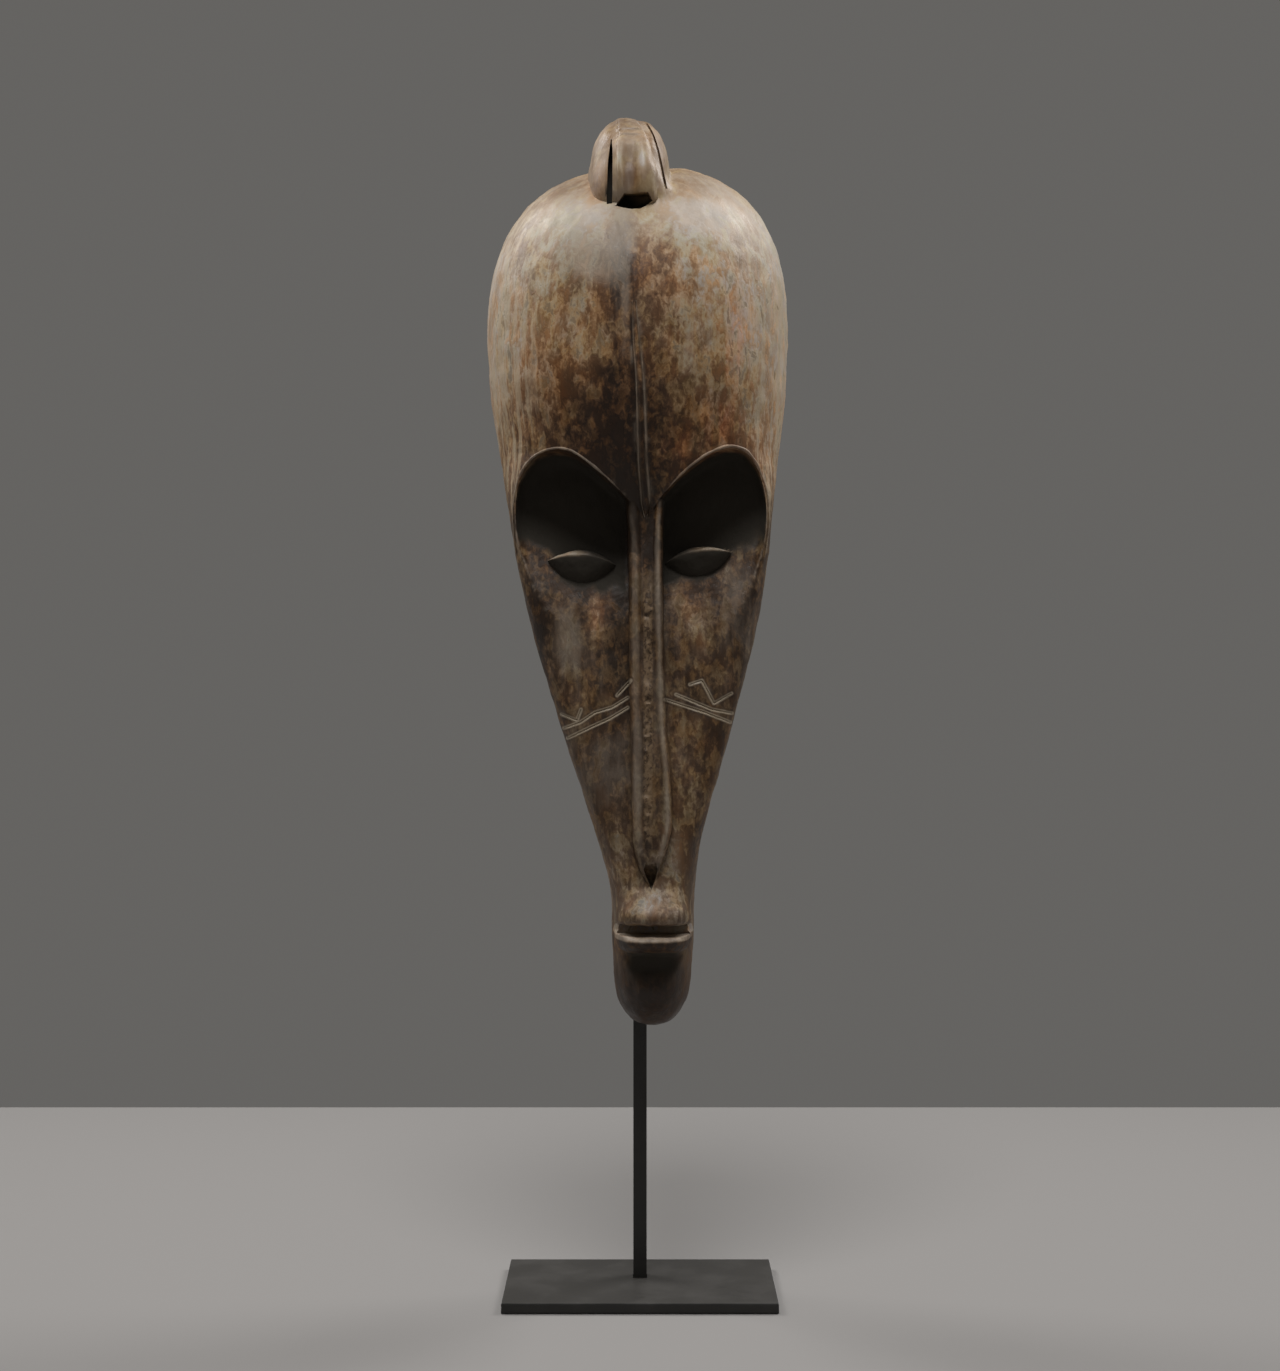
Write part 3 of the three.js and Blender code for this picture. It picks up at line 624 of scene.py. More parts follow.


# How the surface has aged, and where light and shade are painted on it. A stain is (x, z, half width, half
# height, amount), in mm on the front, and four numbers are where a share rises from 0 to 1 and where it
# falls back to 0.
patinaAndLight = {
    "ground": 0.32, "groundSize": 17,  # how far the surface rises and falls, and over what length
    "fuller": (34, -35, 20, 40, 3.6),  # at (x, y), with half widths across and deep, and its height
    "bandLift": 0.5,                   # the faint band from the topknot down to the forehead strip
    "bandLeft": through((735, -5), (790, -19)), "bandRight": through((735, -1.5), (790, -1)),
    "softRim": (0.86, 0.93, 1.06, 1.14), "softRimRounds": 40,  # by the share out in the heart
    "rimBare": 0.4, "smoothAngle": 38, "front": -60,  # the strip and the nose stand before it
    "underSocket": through((-5, 532), (0, 526), (24, 530), (48, 545), (62, 556), (80, 566)),
    "slotSides": through((273.2, 29.5), (279, 28), (280.8, 26)),
    # painted shadow under the lower lip, and a painted highlight along its top edge, by height
    "underLip": (234, 250, 260.5, 262.5), "lipFace": (261, 263, 269, 270.4),
    "lipHighlight": (269.6, 270.6, 273.8, 274.5), "crust": (330, 345, 510, 530), "strip": (576, 590, 708, 722),
    "clayByHeight": through(
        (200, 0.16), (290, 0.42), (330, 0.3), (430, 0.27), (560, 0.24), (590, 0.3), (640, 0.42),
        (680, 0.5), (730, 0.58), (770, 0.72), (795, 0.74), (812, 0.62), (875, 0.6)),
    "claySides": 0.2,
    # among the clay stains are painted highlights on the crown's two shoulders and the topknot's ridges, and
    # painted shade on the crown's outer sides, its upper left and the wings' tops
    "clayAndPaintedLight": [
        (50, 690, 18, 34, 0.1), (-30, 694, 10, 14, 0.15), (6, 297, 11, 8, 0.3), (22, 332, 9, 20, 0.25),
        (-12, 322, 9, 14, 0.15), (14, 745, 15, 30, -0.3), (40, 600, 30, 40, 0.1), (-86, 784, 22, 32, -0.36),
        (42, 786, 20, 14, 0.38), (-46, 786, 28, 14, 0.32), (80, 778, 16, 26, -0.24),
        (-18, 755, 13, 40, -0.25), (-62, 712, 14, 24, 0.15), (70, 705, 18, 34, 0.15),
        (70, 648, 12, 26, 0.14), (53, 740, 14, 30, 0.12), (-12, 700, 12, 34, -0.15),
        (-20, 656, 16, 32, -0.2), (14, 655, 8, 28, -0.12), (-84, 636, 12, 36, -0.12),
        (57, 627, 12, 14, -0.12), (-85, 725, 10, 16, -0.1), (-46, 510, 8, 14, -0.2),
        (-53, 482, 9, 20, 0.26), (18, 445, 4, 34, 0.12), (-28, 466, 7, 18, -0.12), (40, 424, 7, 12, 0.2),
        (-8, 864, 20, 8, -0.2), (108, 700, 20, 80, 0.28), (-108, 700, 16, 80, 0.12),
        (92, 620, 12, 40, 0.08), (-52, 500, 9, 30, 0.15), (28, 345, 10, 40, 0.12), (-20, 340, 12, 30, 0.1),
        (-23, 442, 9, 6, 0.25), (-15, 830, 2.5, 9, 0.22), (1.4, 828, 3, 8, 0.4), (-26, 845, 6, 10, -0.12),
        (14, 846, 6, 12, -0.1), (-58, 822, 30, 12, -0.14), (44, 826, 20, 12, -0.08),
        (-11, 755, 9, 42, -0.2), (-7, 822, 5, 12, -0.12), (25, 522, 5, 11, 0.2), (34, 505, 6, 12, 0.22),
        (43, 486, 7, 14, 0.22), (-31, 502, 6, 17, 0.28)],
    "grey": [
        (-38, 755, 24, 26, 0.9), (-12, 770, 9, 60, 0.7), (-53, 486, 12, 26, 0.9), (72, 500, 12, 34, 0.6),
        (40, 685, 20, 40, 0.4), (-25, 395, 30, 40, 0.5), (10, 470, 14, 60, 0.3), (-60, 790, 40, 20, 0.5),
        (60, 790, 40, 20, 0.5), (44, 818, 36, 16, 0.6), (-52, 818, 30, 16, 0.5), (-8, 860, 20, 22, 0.5)],
    "warm": [
        (10, 750, 12, 34, 0.6), (35, 640, 22, 26, 0.5), (-34, 500, 8, 40, 0.5), (8, 225, 40, 30, 0.6),
        (36, 500, 12, 34, 0.25), (42, 410, 16, 16, 0.5), (-70, 560, 20, 40, 0.4), (-62, 690, 30, 60, 0.3),
        (70, 590, 24, 40, 0.6), (-60, 590, 30, 30, 0.4), (-7, 812, 7, 13, 1), (-30, 812, 8, 12, 1)],
    "dark": [
        (-4, 600, 30, 60, 0.75), (-50, 600, 40, 26, 0.25), (60, 600, 40, 26, 0.1), (4, 236, 40, 34, 0.75),
        (9, 545, 6, 34, 0.45), (-14, 480, 9, 60, 0.3), (-75, 480, 10, 60, 0.3), (8, 340, 12, 30, 0.2),
        (-7, 812, 7, 13, 0.5), (-31, 808, 6, 10, 0.4), (-8, 640, 16, 60, 0.4), (-40, 625, 28, 28, 0.5),
        (-17, 490, 5, 28, 0.35), (22, 485, 5, 22, 0.3)],
    "red": [
        (68, 690, 9, 34, 1), (60, 640, 16, 16, 0.7), (40, 620, 34, 18, 0.7), (-31, 502, 8, 20, 0.4),
        (36, 500, 16, 26, 0.15)],
}


def readAll(items, key, width, kind=np.float32):
    values = np.empty(len(items) * width, kind)
    items.foreach_get(key, values)
    return values.reshape(-1, width)


def pointData(mesh):
    points, normals = (readAll(mesh.vertices, key, 3).astype(float) for key in ("co", "normal"))
    return points / mm, normals, readAll(mesh.edges, "vertices", 2, np.int32)


# The mean on each point of what its edges hand to it
def edgeMean(edges, toFirst, toSecond, count):
    total = np.bincount(edges[:, 0], toFirst, count) + np.bincount(edges[:, 1], toSecond, count)
    return total / np.maximum(np.bincount(edges.ravel(), minlength=count), 1)


# A number on every point, averaged with its neighbours' mean as many times as asked
def spread(value, edges, times):
    a, b = edges.T
    for _ in range(times):
        value = (value + edgeMean(edges, value[b], value[a], len(value))) / 2
    return value


# How sharply the surface turns over: the change of normal along an edge over its length, as a mean
def convexity(points, normals, edges):
    a, b = edges.T
    step = points[b] - points[a]
    length = np.maximum(np.linalg.norm(step, axis=1), 0.5)
    bend = ((normals[b] - normals[a]) * step).sum(1) / length ** 2
    return edgeMean(edges, bend, bend, len(points))


# Soft round patches: the sum of exp(-(dx/w)^2 - (dz/h)^2)
def stains(kind, x, z, share):
    rows = np.array(patinaAndLight[kind]).T
    across, up = (x[:, None] - rows[0]) / rows[2], (z[:, None] - rows[1]) / rows[3]
    return (np.exp(-across ** 2 - up ** 2) * rows[4]).sum(1) * share


# Points drawn towards the middle of their neighbours, as far as each one's share says
def soften(points, edges, share, times):
    for _ in range(times):
        near = np.stack([spread(points[:, k], edges, 1) for k in range(3)], -1)
        points = points + (near - points) * share[:, None]
    return points


# The sunk face's rim is worn away on the cheeks, the ground is uneven, and the topknot runs out into
# the crown, which is a little fuller on its right
def wearDown(mesh, points, normals, edges, heart, back):
    x, y, z = points.T
    cheeks = between(heart, *patinaAndLight["softRim"]) * ease(552, 538, z)
    cheeks *= ease(24, 30, np.abs(x - 4)) * ease(458, 470, z) * (y < -20)
    points = soften(points, edges, cheeks, patinaAndLight["softRimRounds"])
    size = patinaAndLight["groundSize"]
    lift = patinaAndLight["ground"] * (unevenness(points, size, 3) * 0.6 + unevenness(points, size / 3.2, 4) * 0.2)
    left, right = patinaAndLight["bandLeft"](z), patinaAndLight["bandRight"](z)
    band = between(x, left - 1, left + 1, right - 1, right + 1) * ease(722, 734, z)
    lift += patinaAndLight["bandLift"] * band * ease(0.2, 0.6, -normals[:, 1])
    lift *= ease(0.5, 3, back - y)  # the back plane stays flat
    points += normals * lift[:, None]
    nearer, higher = blendTopknot(x, y, z)
    a, b, wide, deep, high = patinaAndLight["fuller"]
    fuller = np.exp(-((x - a) / wide) ** 2 - ((y - b) / deep) ** 2)
    higher += high * fuller * ease(10, 30, x) * ease(770, 800, z)
    points += pointsOf(0, nearer, higher)
    mesh.vertices.foreach_set("co", (points * mm).astype(np.float32).ravel())
    mesh.update()


# The upper lids, painted lighter as a highlight, and all that lies under them, darkened by pigment and
# painted shade
def lidShares(x, y, z):
    lidHighlight, under = np.zeros((2, len(x)))
    for side in ("left", "right"):
        s, q = eyePlace(x, z, eyes[side])
        on = (np.abs(s) < 1) * (y < eyes[side]["depth"] + 6) * (y > -62)
        outer = 0.1 + 0.9 * ease(0.4, -0.4, s if side == "left" else -s)
        lidHighlight = np.maximum(lidHighlight, on * outer * between(q, 0.01, 0.05, 0.13, 0.24))
        under = np.maximum(under, on * between(q, 0.14, 0.3, 1, 1.25))
    return lidHighlight, under


# The black of the sockets, soot and painted shade together, above a wavy line that rises outwards
def socketShare(points, heart, below, sunkSide):
    x, y, z = points.T
    outwards = np.maximum(np.where(x < 3, -10 - x, x - 16), -5)
    lowest = patinaAndLight["underSocket"](outwards) - 5 * (x < 3) + 2.5 * unevenness(points, 22, 21, 12)
    share = sunkSide * ease(1, 0.975, heart) * ease(0.3, 1.5, below)
    return share * ease(-1, 1, outwards) * ease(lowest - 5, lowest + 5, z)


# The nose's pit, which widens upwards, and the slot and the hole of the topknot, all darkened as painted
# shade
def pitShares(x, y, z, below):
    aside = np.abs(x - 8) / np.maximum(0.5, 0.36 * (z - 306))
    pit = ease(1.05, 0.85, aside) * ease(330, 318, z) * (z > 306.5) * (y < patinaAndLight["front"])
    axisY, axisZ = topknot["axis"]
    sunk = np.where(z < 803, below - 1, 63 - np.hypot(y - axisY, z - axisZ))
    cleft = (z > 796.5) * (x > -25) * (x < -19) * ease(0, 2.5, sunk) * (y < -20)
    hole = ease(-70, -64, y) * (z > 785) * (z < 806) * (x > -19) * (x < 10) * (y < -45)
    return pit, cleft, hole


# The shares that the finish goes by, from 0 to 1 on every point
def ageAndLightPiece(piece):
    mesh = piece.data
    carved, normals, edges = pointData(mesh)
    heart, back = heartShare(carved[:, 0], carved[:, 2]), block["backLine"](carved[:, 2])
    wearDown(mesh, carved, normals, edges, heart, back)
    points, normals, edges = pointData(mesh)
    x, y, z = points.T
    middle = block["midline"](z)
    aside = np.abs(x - middle)
    below = y - surfaceDepth(x, z)
    onLip = (aside < 30) * (below < -1)
    # the hollow's walls are the deep points that face inwards
    outward = normals[:, 0] * (x - middle) + normals[:, 1] * (y - back)
    outward = outward / np.maximum(np.hypot(x - middle, y - back), 1)
    inside = ease(0.05, -0.15, outward) * ease(5, 9, below) * (z > 255)
    sunkSide = y < (face["floor"](z) + hollow["front"](z)) / 2
    inside = np.where((heart < 1.02) & sunkSide & (z > 470), 0, inside)
    inside = np.where(back - y < 0.5, patinaAndLight["rimBare"], inside)
    lidHighlight, under = lidShares(x, y, z)
    socket = socketShare(points, heart, below, sunkSide)
    mouthSlot = np.maximum(ease(-12, -11, below), ease(17, 20, aside)) * (y < -30)
    mouthSlot = mouthSlot * (z > 273.2) * (z < 280.9) * (aside < patinaAndLight["slotSides"](z))
    # painted shadow under the lower lip
    underLip = between(z, *patinaAndLight["underLip"]) * ease(25, 13, aside)
    pit, cleft, hole = pitShares(x, y, z, below)
    # soot in the sockets, with painted shade there, under the lids, under the lower lip and in the pit, slot
    # and hole
    sootAndShade = np.maximum.reduce([socket * (1 - lidHighlight), under, underLip * 0.97, pit * 0.85, cleft, hole])
    # the nose's rails, the lips and the lines of the forehead strip: painted highlights on the rails, the
    # lower lip's top edge and the strip's lines, and painted shadow to the left of the strip
    # painted highlight along the nose's two rails
    rail = np.maximum(bell((x - nose["left"](z) - 5) / 3), bell((x - nose["right"](z) + 4) / 2.6))
    rail = rail * (below < -1) * (z > 330) * (z < 580) * (y < patinaAndLight["front"])
    lipHighlight = between(z, *patinaAndLight["lipHighlight"]) * onLip * ease(29, 26, aside)
    lipFace = between(z, *patinaAndLight["lipFace"]) * onLip
    u = (x - strip["middle"](z)) / strip["half"](z)
    line, fainterHighlight, stripShadow = ((y < patinaAndLight["front"]) * between(z, *patinaAndLight["strip"]) * bell((u - at) / wide)
                               for at, wide in ((0.72, 0.24), (-0.6, 0.3), (-1.25, 0.35)))
    crust = ease(4, 2.5, np.abs(x - nose["crust"][0])) * between(z, *patinaAndLight["crust"])
    ahead = ease(2, 14, back - y)  # 0 on the back rim, which has no stain
    # clay, with painted highlights and shade among the stains, and painted highlights on the lids
    clayAndPaintedLight = patinaAndLight["clayByHeight"](z) + stains("clayAndPaintedLight", x, z, ahead)
    clayAndPaintedLight += patinaAndLight["claySides"] * ease(50, 100, np.abs(x)) * ease(560, 620, z) + 0.5 * lidHighlight
    # edges are worn less on the crown, the crust and the face
    plain = ease(795, np.where(ahead < 1, 660, 785), z) * (1 - crust) * np.where(z < 500, 0.7, 1)
    plain = plain * (1 - mouthSlot)
    plain = plain * np.where((z > 575) & (z < 625), 0.45 + 0.55 * ease(14, 42, np.abs(x - 4)), 1)
    bend = convexity(points, normals, edges)
    # painted shade in concave creases
    creaseShade = spread(ease(0.05, 0.3, -bend), edges, 2) * ease(800, 790, z)
    shares = {
        "inside": np.maximum(inside, patinaAndLight["rimBare"] * mouthSlot),
        "sootAndShade": sootAndShade * (1 - inside),
        # rubbed edges, with the painted highlights of the lids, the lip's top edge and the strip's lines
        "wearAndHighlight": spread(ease(0.05, 0.35, bend), edges, 1) * plain + 1.6 * lidHighlight
        + 1.4 * (lipHighlight + line + 0.4 * fainterHighlight),
        "creaseShade": creaseShade * (1 - 0.7 * between(z, 300, 306, 330, 345)),
        "clayAndPaintedLight": clayAndPaintedLight + 0.17 * rail + 0.5 * mouthSlot,
        "crust": crust,
        # dark stains, with the painted shadow to the left of the forehead strip
        "dark": stains("dark", x, z, ahead) + 0.7 * lipFace + 1.2 * stripShadow,
        # grey film, thicker on the nose's rails as part of their painted highlight
        "grey": stains("grey", x, z, ahead) + 0.35 * rail + 0.18 * between(z, 290, 320, 545, 575),
        "warm": stains("warm", x, z, ahead) + 0.8 * lipFace + mouthSlot,
        "red": stains("red", x, z, ahead),
    }
    for name, share in shares.items():
        layer = mesh.attributes.new(name, "FLOAT", "POINT")
        layer.data.foreach_set("value", np.clip(share, 0, 1).astype(np.float32))


ageAndLightPiece(mask)
bpy.context.view_layer.objects.active = mask
mask.select_set(True)
bpy.ops.object.shade_smooth_by_angle(angle=np.radians(patinaAndLight["smoothAngle"]))
mask.select_set(False)
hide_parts("mask")
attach(mask, "root")
print("mask aged")


# A material's node tree with short ways to add and join nodes
class Finish:
    def __init__(self, name):
        self.material = bpy.data.materials.new(name)
        self.material.use_nodes = True
        self.tree = self.material.node_tree
        self.shader = self.tree.nodes["Principled BSDF"].inputs
        self.place = self.tree.nodes.new("ShaderNodeTexCoord").outputs["Object"]

    def put(self, value, socket):
        if isinstance(value, bpy.types.NodeSocket):
            self.tree.links.new(value, socket)
        else:
            socket.default_value = (*value, 1) if socket.type == "RGBA" else value

    def node(self, kind, settings, *values, **named):
        made = self.tree.nodes.new("ShaderNode" + kind)
        for key, value in settings.items():
            setattr(made, key, value)
        for socket, value in zip(made.inputs, values):
            self.put(value, socket)
        for key, value in named.items():
            self.put(value, made.inputs[key.replace("_", " ")])
        return made

    def noise(self, scale, detail=3, rough=0.55, stretch=(1, 1, 1), distort=0, shift=(0, 0, 0)):
        place = self.node("Mapping", {}, self.place, shift, Scale=stretch).outputs[0]
        return self.node("TexNoise", {}, place, Scale=scale, Detail=detail, Roughness=rough,
                         Distortion=distort).outputs["Fac"]

    def point(self, name):
        return self.node("Attribute", {"attribute_name": name}).outputs["Fac"]

    def axis(self, name):
        return self.node("SeparateXYZ", {}, self.place).outputs[name]

    def vector(self, operation, *values, **named):
        return self.node("VectorMath", {"operation": operation}, *values, **named).outputs

    def math(self, operation, *values, **settings):
        return self.node("Math", {"operation": operation, **settings}, *values).outputs[0]

    def times(self, a, b):
        return self.math("MULTIPLY", a, b)

    # first + second * amount
    def plus(self, first, second, amount=1):
        return self.math("MULTIPLY_ADD", second, amount, first)

    # the sum of several values, each times its weight
    def weighted(self, first, *others):
        total = self.times(*first)
        for value, weight in others:
            total = self.plus(total, value, weight)
        return total

    def ramp(self, value, low, high, start=0, end=1):
        smooth = {"interpolation_type": "SMOOTHSTEP"}
        return self.node("MapRange", smooth, value, low, high, start, end).outputs[0]

    # rises from 0 at a to 1 at b, and falls from c to 0 at d
    def between(self, value, a, b, c, d):
        return self.times(self.ramp(value, a, b), self.ramp(value, d, c))

    def mix(self, share, a, b, blend="MIX"):
        made = self.node("Mix", {"data_type": "RGBA", "blend_type": blend}, share)
        self.put(a, made.inputs[6])
        self.put(b, made.inputs[7])
        return made.outputs[2]

    def tones(self, value, stops):
        made = self.node("ValToRGB", {}, value)
        marks = made.color_ramp.elements
        for place, _ in stops[1:-1]:
            marks.new(place)
        for mark, (_, colour) in zip(marks, stops):
            mark.color = (*colour, 1)
        return made.outputs["Color"]

    def bump(self, height, strength, distance, **under):
        return self.node("Bump", {}, strength, distance, Height=height, **under).outputs[0]


wood = {
    # from bare dark wood up to the thickest clay
    "tones": [
        (0, (0.022, 0.013, 0.008)), (0.16, (0.055, 0.031, 0.017)), (0.3, (0.11, 0.064, 0.034)),
        (0.42, (0.165, 0.102, 0.056)), (0.51, (0.235, 0.16, 0.096)), (0.6, (0.3, 0.215, 0.14)),
        (0.7, (0.37, 0.285, 0.203)), (0.85, (0.42, 0.37, 0.322)), (1, (0.48, 0.445, 0.41))],
    "contrast": 3.5, "darkening": 0.34, "sheen": 0.34,
    # scale, detail, roughness, stretch, distortion and shift of each noise
    "blotch": (38, 4, 0.55, (1, 1, 0.6)),
    "fleck": (120, 2, 0.5, (1, 1, 0.55), 0.6),
    "crumb": (330, 3, 0.6, (1, 1, 0.7), 0.6, (3, 1, 2)),
    "streak": (140, 4, 0.6, (1, 1, 0.09), 0.3, (1, 4, 2)),
    "broad": (24, 3, 0.5, (1, 1, 0.7), 0, (5, 2, 1)),
    "hue": (85, 3, 0.5, (1, 1, 0.6), 0.4, (2, 7, 3)),
    "grain": (520, 3, 0.6, (1, 1, 0.05)),
    "roughness": (0.23, 0.38, 0.31, 0.17), "roughMiddle": 0.545,  # what blotch, fleck, crumb, streak add
    # parts of the height, in metres
    "forehead": (0.57, 0.63, 0.71, 0.78), "muzzle": (0.262, 0.28, 0.32, 0.365), "crown": (0.74, 0.79),
    "foreheadTint": (1.08, 0.99, 0.91), "muzzleTint": (0.88, 0.93, 1.06), "warmTint": (1.17, 0.965, 0.77),
    # the chip tint also darkens the painted shadow along the scars
    "redTint": (1.3, 0.86, 0.76), "oliveTint": (0.97, 0.95, 0.68), "chipAndShadowTint": (0.36, 0.3, 0.25),
    "paleTint": (1.6, 1.5, 1.38), "paleStreak": (0.49, 0.385, 0.26),
    "cool": (0.97, 1, 1.03), "mellow": (1.07, 0.98, 0.84),
    "film": (0.31, 0.262, 0.21), "faceFilm": (0.15, 0.128, 0.105),
    "sootAndShade": (0.033, 0.0275, 0.02), "raw": (0.19, 0.125, 0.072), "rawDark": (0.09, 0.055, 0.032),
    "worn": (0.38, 0.31, 0.24), "crust": (0.21, 0.14, 0.08), "scar": (0.37, 0.3, 0.215),
}


# The share of the scars' lines, and of a darker band along them that is painted shadow, from the distance to
# the nearest
# part: |p - a - h (b - a)|, with h the share along the part, kept from 0 to 1
def scarShare(f):
    flat = f.vector("MULTIPLY", f.place, (1, 0, 1))[0]
    nearest = 1
    for line in scars["lines"]:
        for start, end in zip(line, line[1:]):
            a, b = (np.array([p[0], 0, p[1]]) * mm for p in (start, end))
            reach = f.vector("SUBTRACT", flat, tuple(a))[0]
            along = f.vector("DOT_PRODUCT", reach, tuple((b - a) / ((b - a) @ (b - a))))["Value"]
            foot = f.vector("SCALE", tuple(b - a), Scale=f.math("MAXIMUM", along, 0, use_clamp=True))[0]
            nearest = f.math("MINIMUM", nearest, f.vector("DISTANCE", reach, foot)["Value"])
    onFront = f.ramp(f.axis("Y"), -0.03, -0.01, 1, 0)
    width = scars["width"] * mm
    return [f.times(f.ramp(nearest, width * near, width * far, 1, 0), onFront)
            for near, far in (scars["fade"], scars["shadowFade"])]


def makeWoodFinish():
    f = Finish("old carved wood")
    inside, sootAndShade, crust, height = f.point("inside"), f.point("sootAndShade"), f.point("crust"), f.axis("Z")
    noises = [f.noise(*wood[key]) for key in ("blotch", "fleck", "crumb", "streak", "broad", "hue", "grain")]
    blotch, fleck, crumb, streak, broad, hue, grain = noises
    # how much clay is left, with painted highlights and shade among its stains: its share, less the dark
    # stains, roughened by noise of four sizes
    rough = f.math("SUBTRACT", f.weighted(*zip(noises, wood["roughness"])), wood["roughMiddle"])
    rough = f.math("SMOOTH_MAX", rough, -0.065, 0.05)
    # quieter on the crown and the topknot, which are handled smooth, and on the face and chin
    quiet = f.times(f.ramp(height, 0.75, 0.81, 1, 0.3), f.ramp(height, 0.5, 0.6, 0.86, 1))
    quiet = f.times(quiet, f.ramp(height, 0.245, 0.27, 0.45, 1))
    level = f.plus(f.point("clayAndPaintedLight"), f.times(rough, quiet), wood["contrast"])
    level = f.plus(level, f.point("dark"), -wood["darkening"])
    warmth = f.ramp(f.plus(broad, f.point("warm"), 0.5), 0.45, 0.9, 0.15, 1)
    belowCrown = f.ramp(height, *wood["crown"], 1, 0.15)
    filmed = f.weighted((f.point("grey"), 0.6), (blotch, 0.7), (streak, 0.5))
    film = f.mix(f.ramp(height, 0.56, 0.66), wood["faceFilm"], wood["film"])
    # small chips, dark and pale, where the layers have flaked
    chips = f.plus(fleck, crumb, 0.4)
    darkChips = f.times(f.ramp(chips, 0.8, 0.9), f.ramp(height, 0.78, 0.73, 0, 0.7))
    paleChips = f.times(f.ramp(chips, 0.64, 0.54), f.ramp(height, *wood["crown"], 0.6, 0.1))
    # pale streaks of clay run down the forehead's two sides
    edges = f.times(f.ramp(f.math("ABSOLUTE", f.axis("X")), 0.06, 0.1), f.ramp(height, 0.54, 0.62))
    scar, scarShadow = scarShare(f)
    raw = f.mix(f.ramp(blotch, 0.35, 0.65), wood["rawDark"], wood["raw"])
    colour = f.tones(level, wood["tones"])
    tinted, covered = "MULTIPLY", "MIX"
    for blend, share, over in (
            (tinted, f.times(warmth, f.ramp(height, 0.5, 0.62, 0.4, 0.8)), wood["warmTint"]),
            (tinted, f.times(f.point("red"), f.ramp(streak, 0.35, 0.65, 0, 0.85)), wood["redTint"]),
            (tinted, f.times(f.ramp(hue, 0.42, 0.6), belowCrown), wood["cool"]),
            (tinted, f.times(f.ramp(hue, 0.56, 0.4), belowCrown), wood["mellow"]),
            (tinted, f.ramp(f.plus(fleck, broad, -0.8), 0.08, 0.2, 0, 0.5), wood["oliveTint"]),
            (tinted, f.between(height, *wood["forehead"]), wood["foreheadTint"]),
            (tinted, f.between(height, *wood["muzzle"]), wood["muzzleTint"]),
            (covered, f.ramp(filmed, 0.72, 1.15, 0, 0.65), film),
            (tinted, darkChips, wood["chipAndShadowTint"]),
            (tinted, paleChips, wood["paleTint"]),
            (covered, f.times(edges, f.ramp(streak, 0.5, 0.6, 0, 0.75)), wood["paleStreak"]),
            (covered, f.times(crust, f.ramp(crumb, 0.4, 0.6, 0.2, 0.9)), wood["crust"]),
            (covered, f.times(crust, f.ramp(crumb, 0.48, 0.4, 0, 0.7)), wood["tones"][1][1]),
            # painted shadow along the scars
            (tinted, f.times(scarShadow, 0.6), wood["chipAndShadowTint"]),
            (covered, f.times(scar, 0.85), wood["scar"]),
            # rubbed wear and painted highlights, in the worn colour
            (covered, f.times(f.point("wearAndHighlight"), f.ramp(streak, 0.3, 0.7, 0.35, 0.75)), wood["worn"]),
            # painted shade in creases, in the darkest tone
            (covered, f.times(f.point("creaseShade"), 0.45), wood["tones"][0][1]),
            # soot with painted shade: the sockets, under the lids and the lip, the pit, the slot and the
            # hole
            (covered, sootAndShade, wood["sootAndShade"]),
            (covered, inside, raw)):
        colour = f.mix(share, colour, over, blend)
    f.put(colour, f.shader["Base Color"])
    f.put(wood["sheen"], f.shader["Specular IOR Level"])
    dull = f.ramp(f.plus(blotch, crumb, 0.5), 0.6, 0.9, 0.46, 0.64)
    dull = f.plus(dull, f.ramp(height, 0.74, 0.82, 0, -0.03))
    f.put(f.math("MAXIMUM", dull, f.times(f.math("MAXIMUM", sootAndShade, inside), 0.85)), f.shader["Roughness"])
    relief = f.plus(f.plus(rough, darkChips, -0.3), paleChips, 0.3)
    f.put(f.bump(relief, 0.5, 0.0012, Normal=f.bump(grain, 0.2, 0.0005)), f.shader["Normal"])
    return f.material


steel = {
    "paint": (0.01, 0.0095, 0.008), "dust": (0.044, 0.0405, 0.036), "plateTop": 0.008,
    "cloud": (30, 4, 0.6), "grain": (700, 3, 0.7),
}


# The dust lies in clouds, and thickest on the plate's top
def makePaintedSteel(name, dusty):
    f = Finish(name)
    cloud = f.noise(*steel["cloud"])
    share = f.ramp(cloud, 0.4, 0.8, 0, 0.4)
    if dusty:
        onTop = f.ramp(f.axis("Z"), steel["plateTop"] - 0.0004, steel["plateTop"] - 0.0001)
        share = f.plus(share, onTop, 0.75)
    f.put(f.mix(share, steel["paint"], steel["dust"]), f.shader["Base Color"])
    f.put(f.ramp(cloud, 0.3, 0.7, 0.4, 0.55), f.shader["Roughness"])
    f.put(f.bump(f.noise(*steel["grain"]), 0.12, 0.0003), f.shader["Normal"])
    return f.material


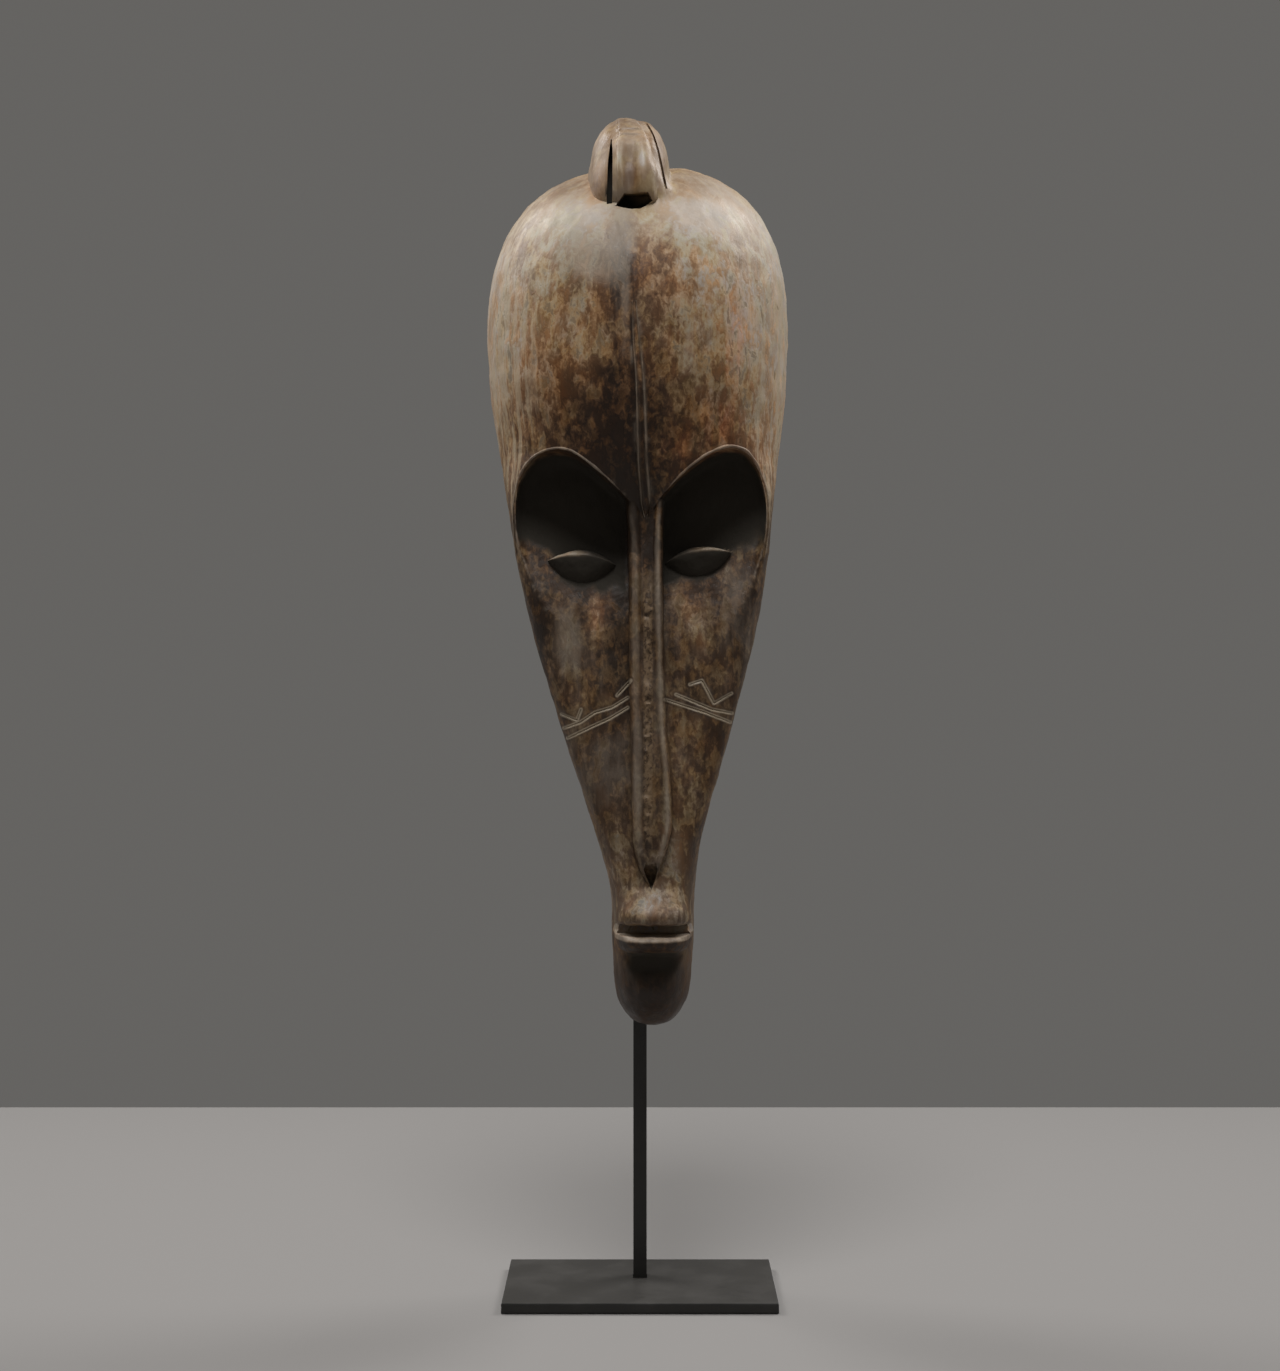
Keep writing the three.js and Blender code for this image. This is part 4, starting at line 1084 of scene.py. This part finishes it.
mask.data.materials.clear()  # the carving leaves an empty slot
mask.data.materials.append(makeWoodFinish())
for name, title in (("upright", "black painted steel"), ("base_plate", "dusty painted steel")):
    material = makePaintedSteel(title, dusty=name == "base_plate")
    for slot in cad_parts[name].material_slots:
        slot.material = material
print("finishes laid on")


studio = {
    "floorEdges": (-4, -5, 4, 0.7), "floor": (0.275, 0.262, 0.252), "floorRoughness": 0.9,
    "air": (0.13, 0.126, 0.12),
    "lights": [  # name, place, size, power in watts
        ("softbox above", (-0.1, -0.95, 2.6), 0.9, 36),
        ("softbox back left", (-1.35, 0.75, 1.9), 1, 24),
        ("softbox back right", (1.3, 0.7, 1.95), 1, 25),
    ],
    "aim": (0, 0, 0.6),
    "cameraPlace": (0, -1.608, 0.4525), "lens": 56.5, "filmWidth": 36,
}


def makeStudio():
    left, near, right, far = studio["floorEdges"]
    mesh = bpy.data.meshes.new("floor")
    corners = [(left, near, 0), (right, near, 0), (right, far, 0), (left, far, 0)]
    mesh.from_pydata(corners, [], [(0, 1, 2, 3)])
    floor = addObject("floor", mesh)
    f = Finish("pale floor")
    f.put(studio["floor"], f.shader["Base Color"])
    f.put(studio["floorRoughness"], f.shader["Roughness"])
    mesh.materials.append(f.material)
    for name, place, size, power in studio["lights"]:
        light = bpy.data.lights.new(name, "AREA")
        light.shape, light.size, light.energy = "DISK", size, power
        lamp = addObject(name, light)
        lamp.location = place
        lamp.rotation_euler = (Vector(studio["aim"]) - Vector(place)).to_track_quat("-Z", "Y").to_euler()
    world = bpy.data.worlds.new("studio")
    world.use_nodes = True
    world.node_tree.nodes["Background"].inputs["Color"].default_value = (*studio["air"], 1)
    bpy.context.scene.world = world
    view = bpy.data.cameras.new("camera")
    view.lens, view.sensor_width, view.clip_start = studio["lens"], studio["filmWidth"], 0.01
    camera = addObject("camera", view)
    camera.location = studio["cameraPlace"]
    camera.rotation_euler = (np.pi / 2, 0, 0)  # level, towards +Y
    bpy.context.scene.camera = camera
    bpy.context.scene.view_settings.view_transform = "Standard"


makeStudio()
print("studio set")
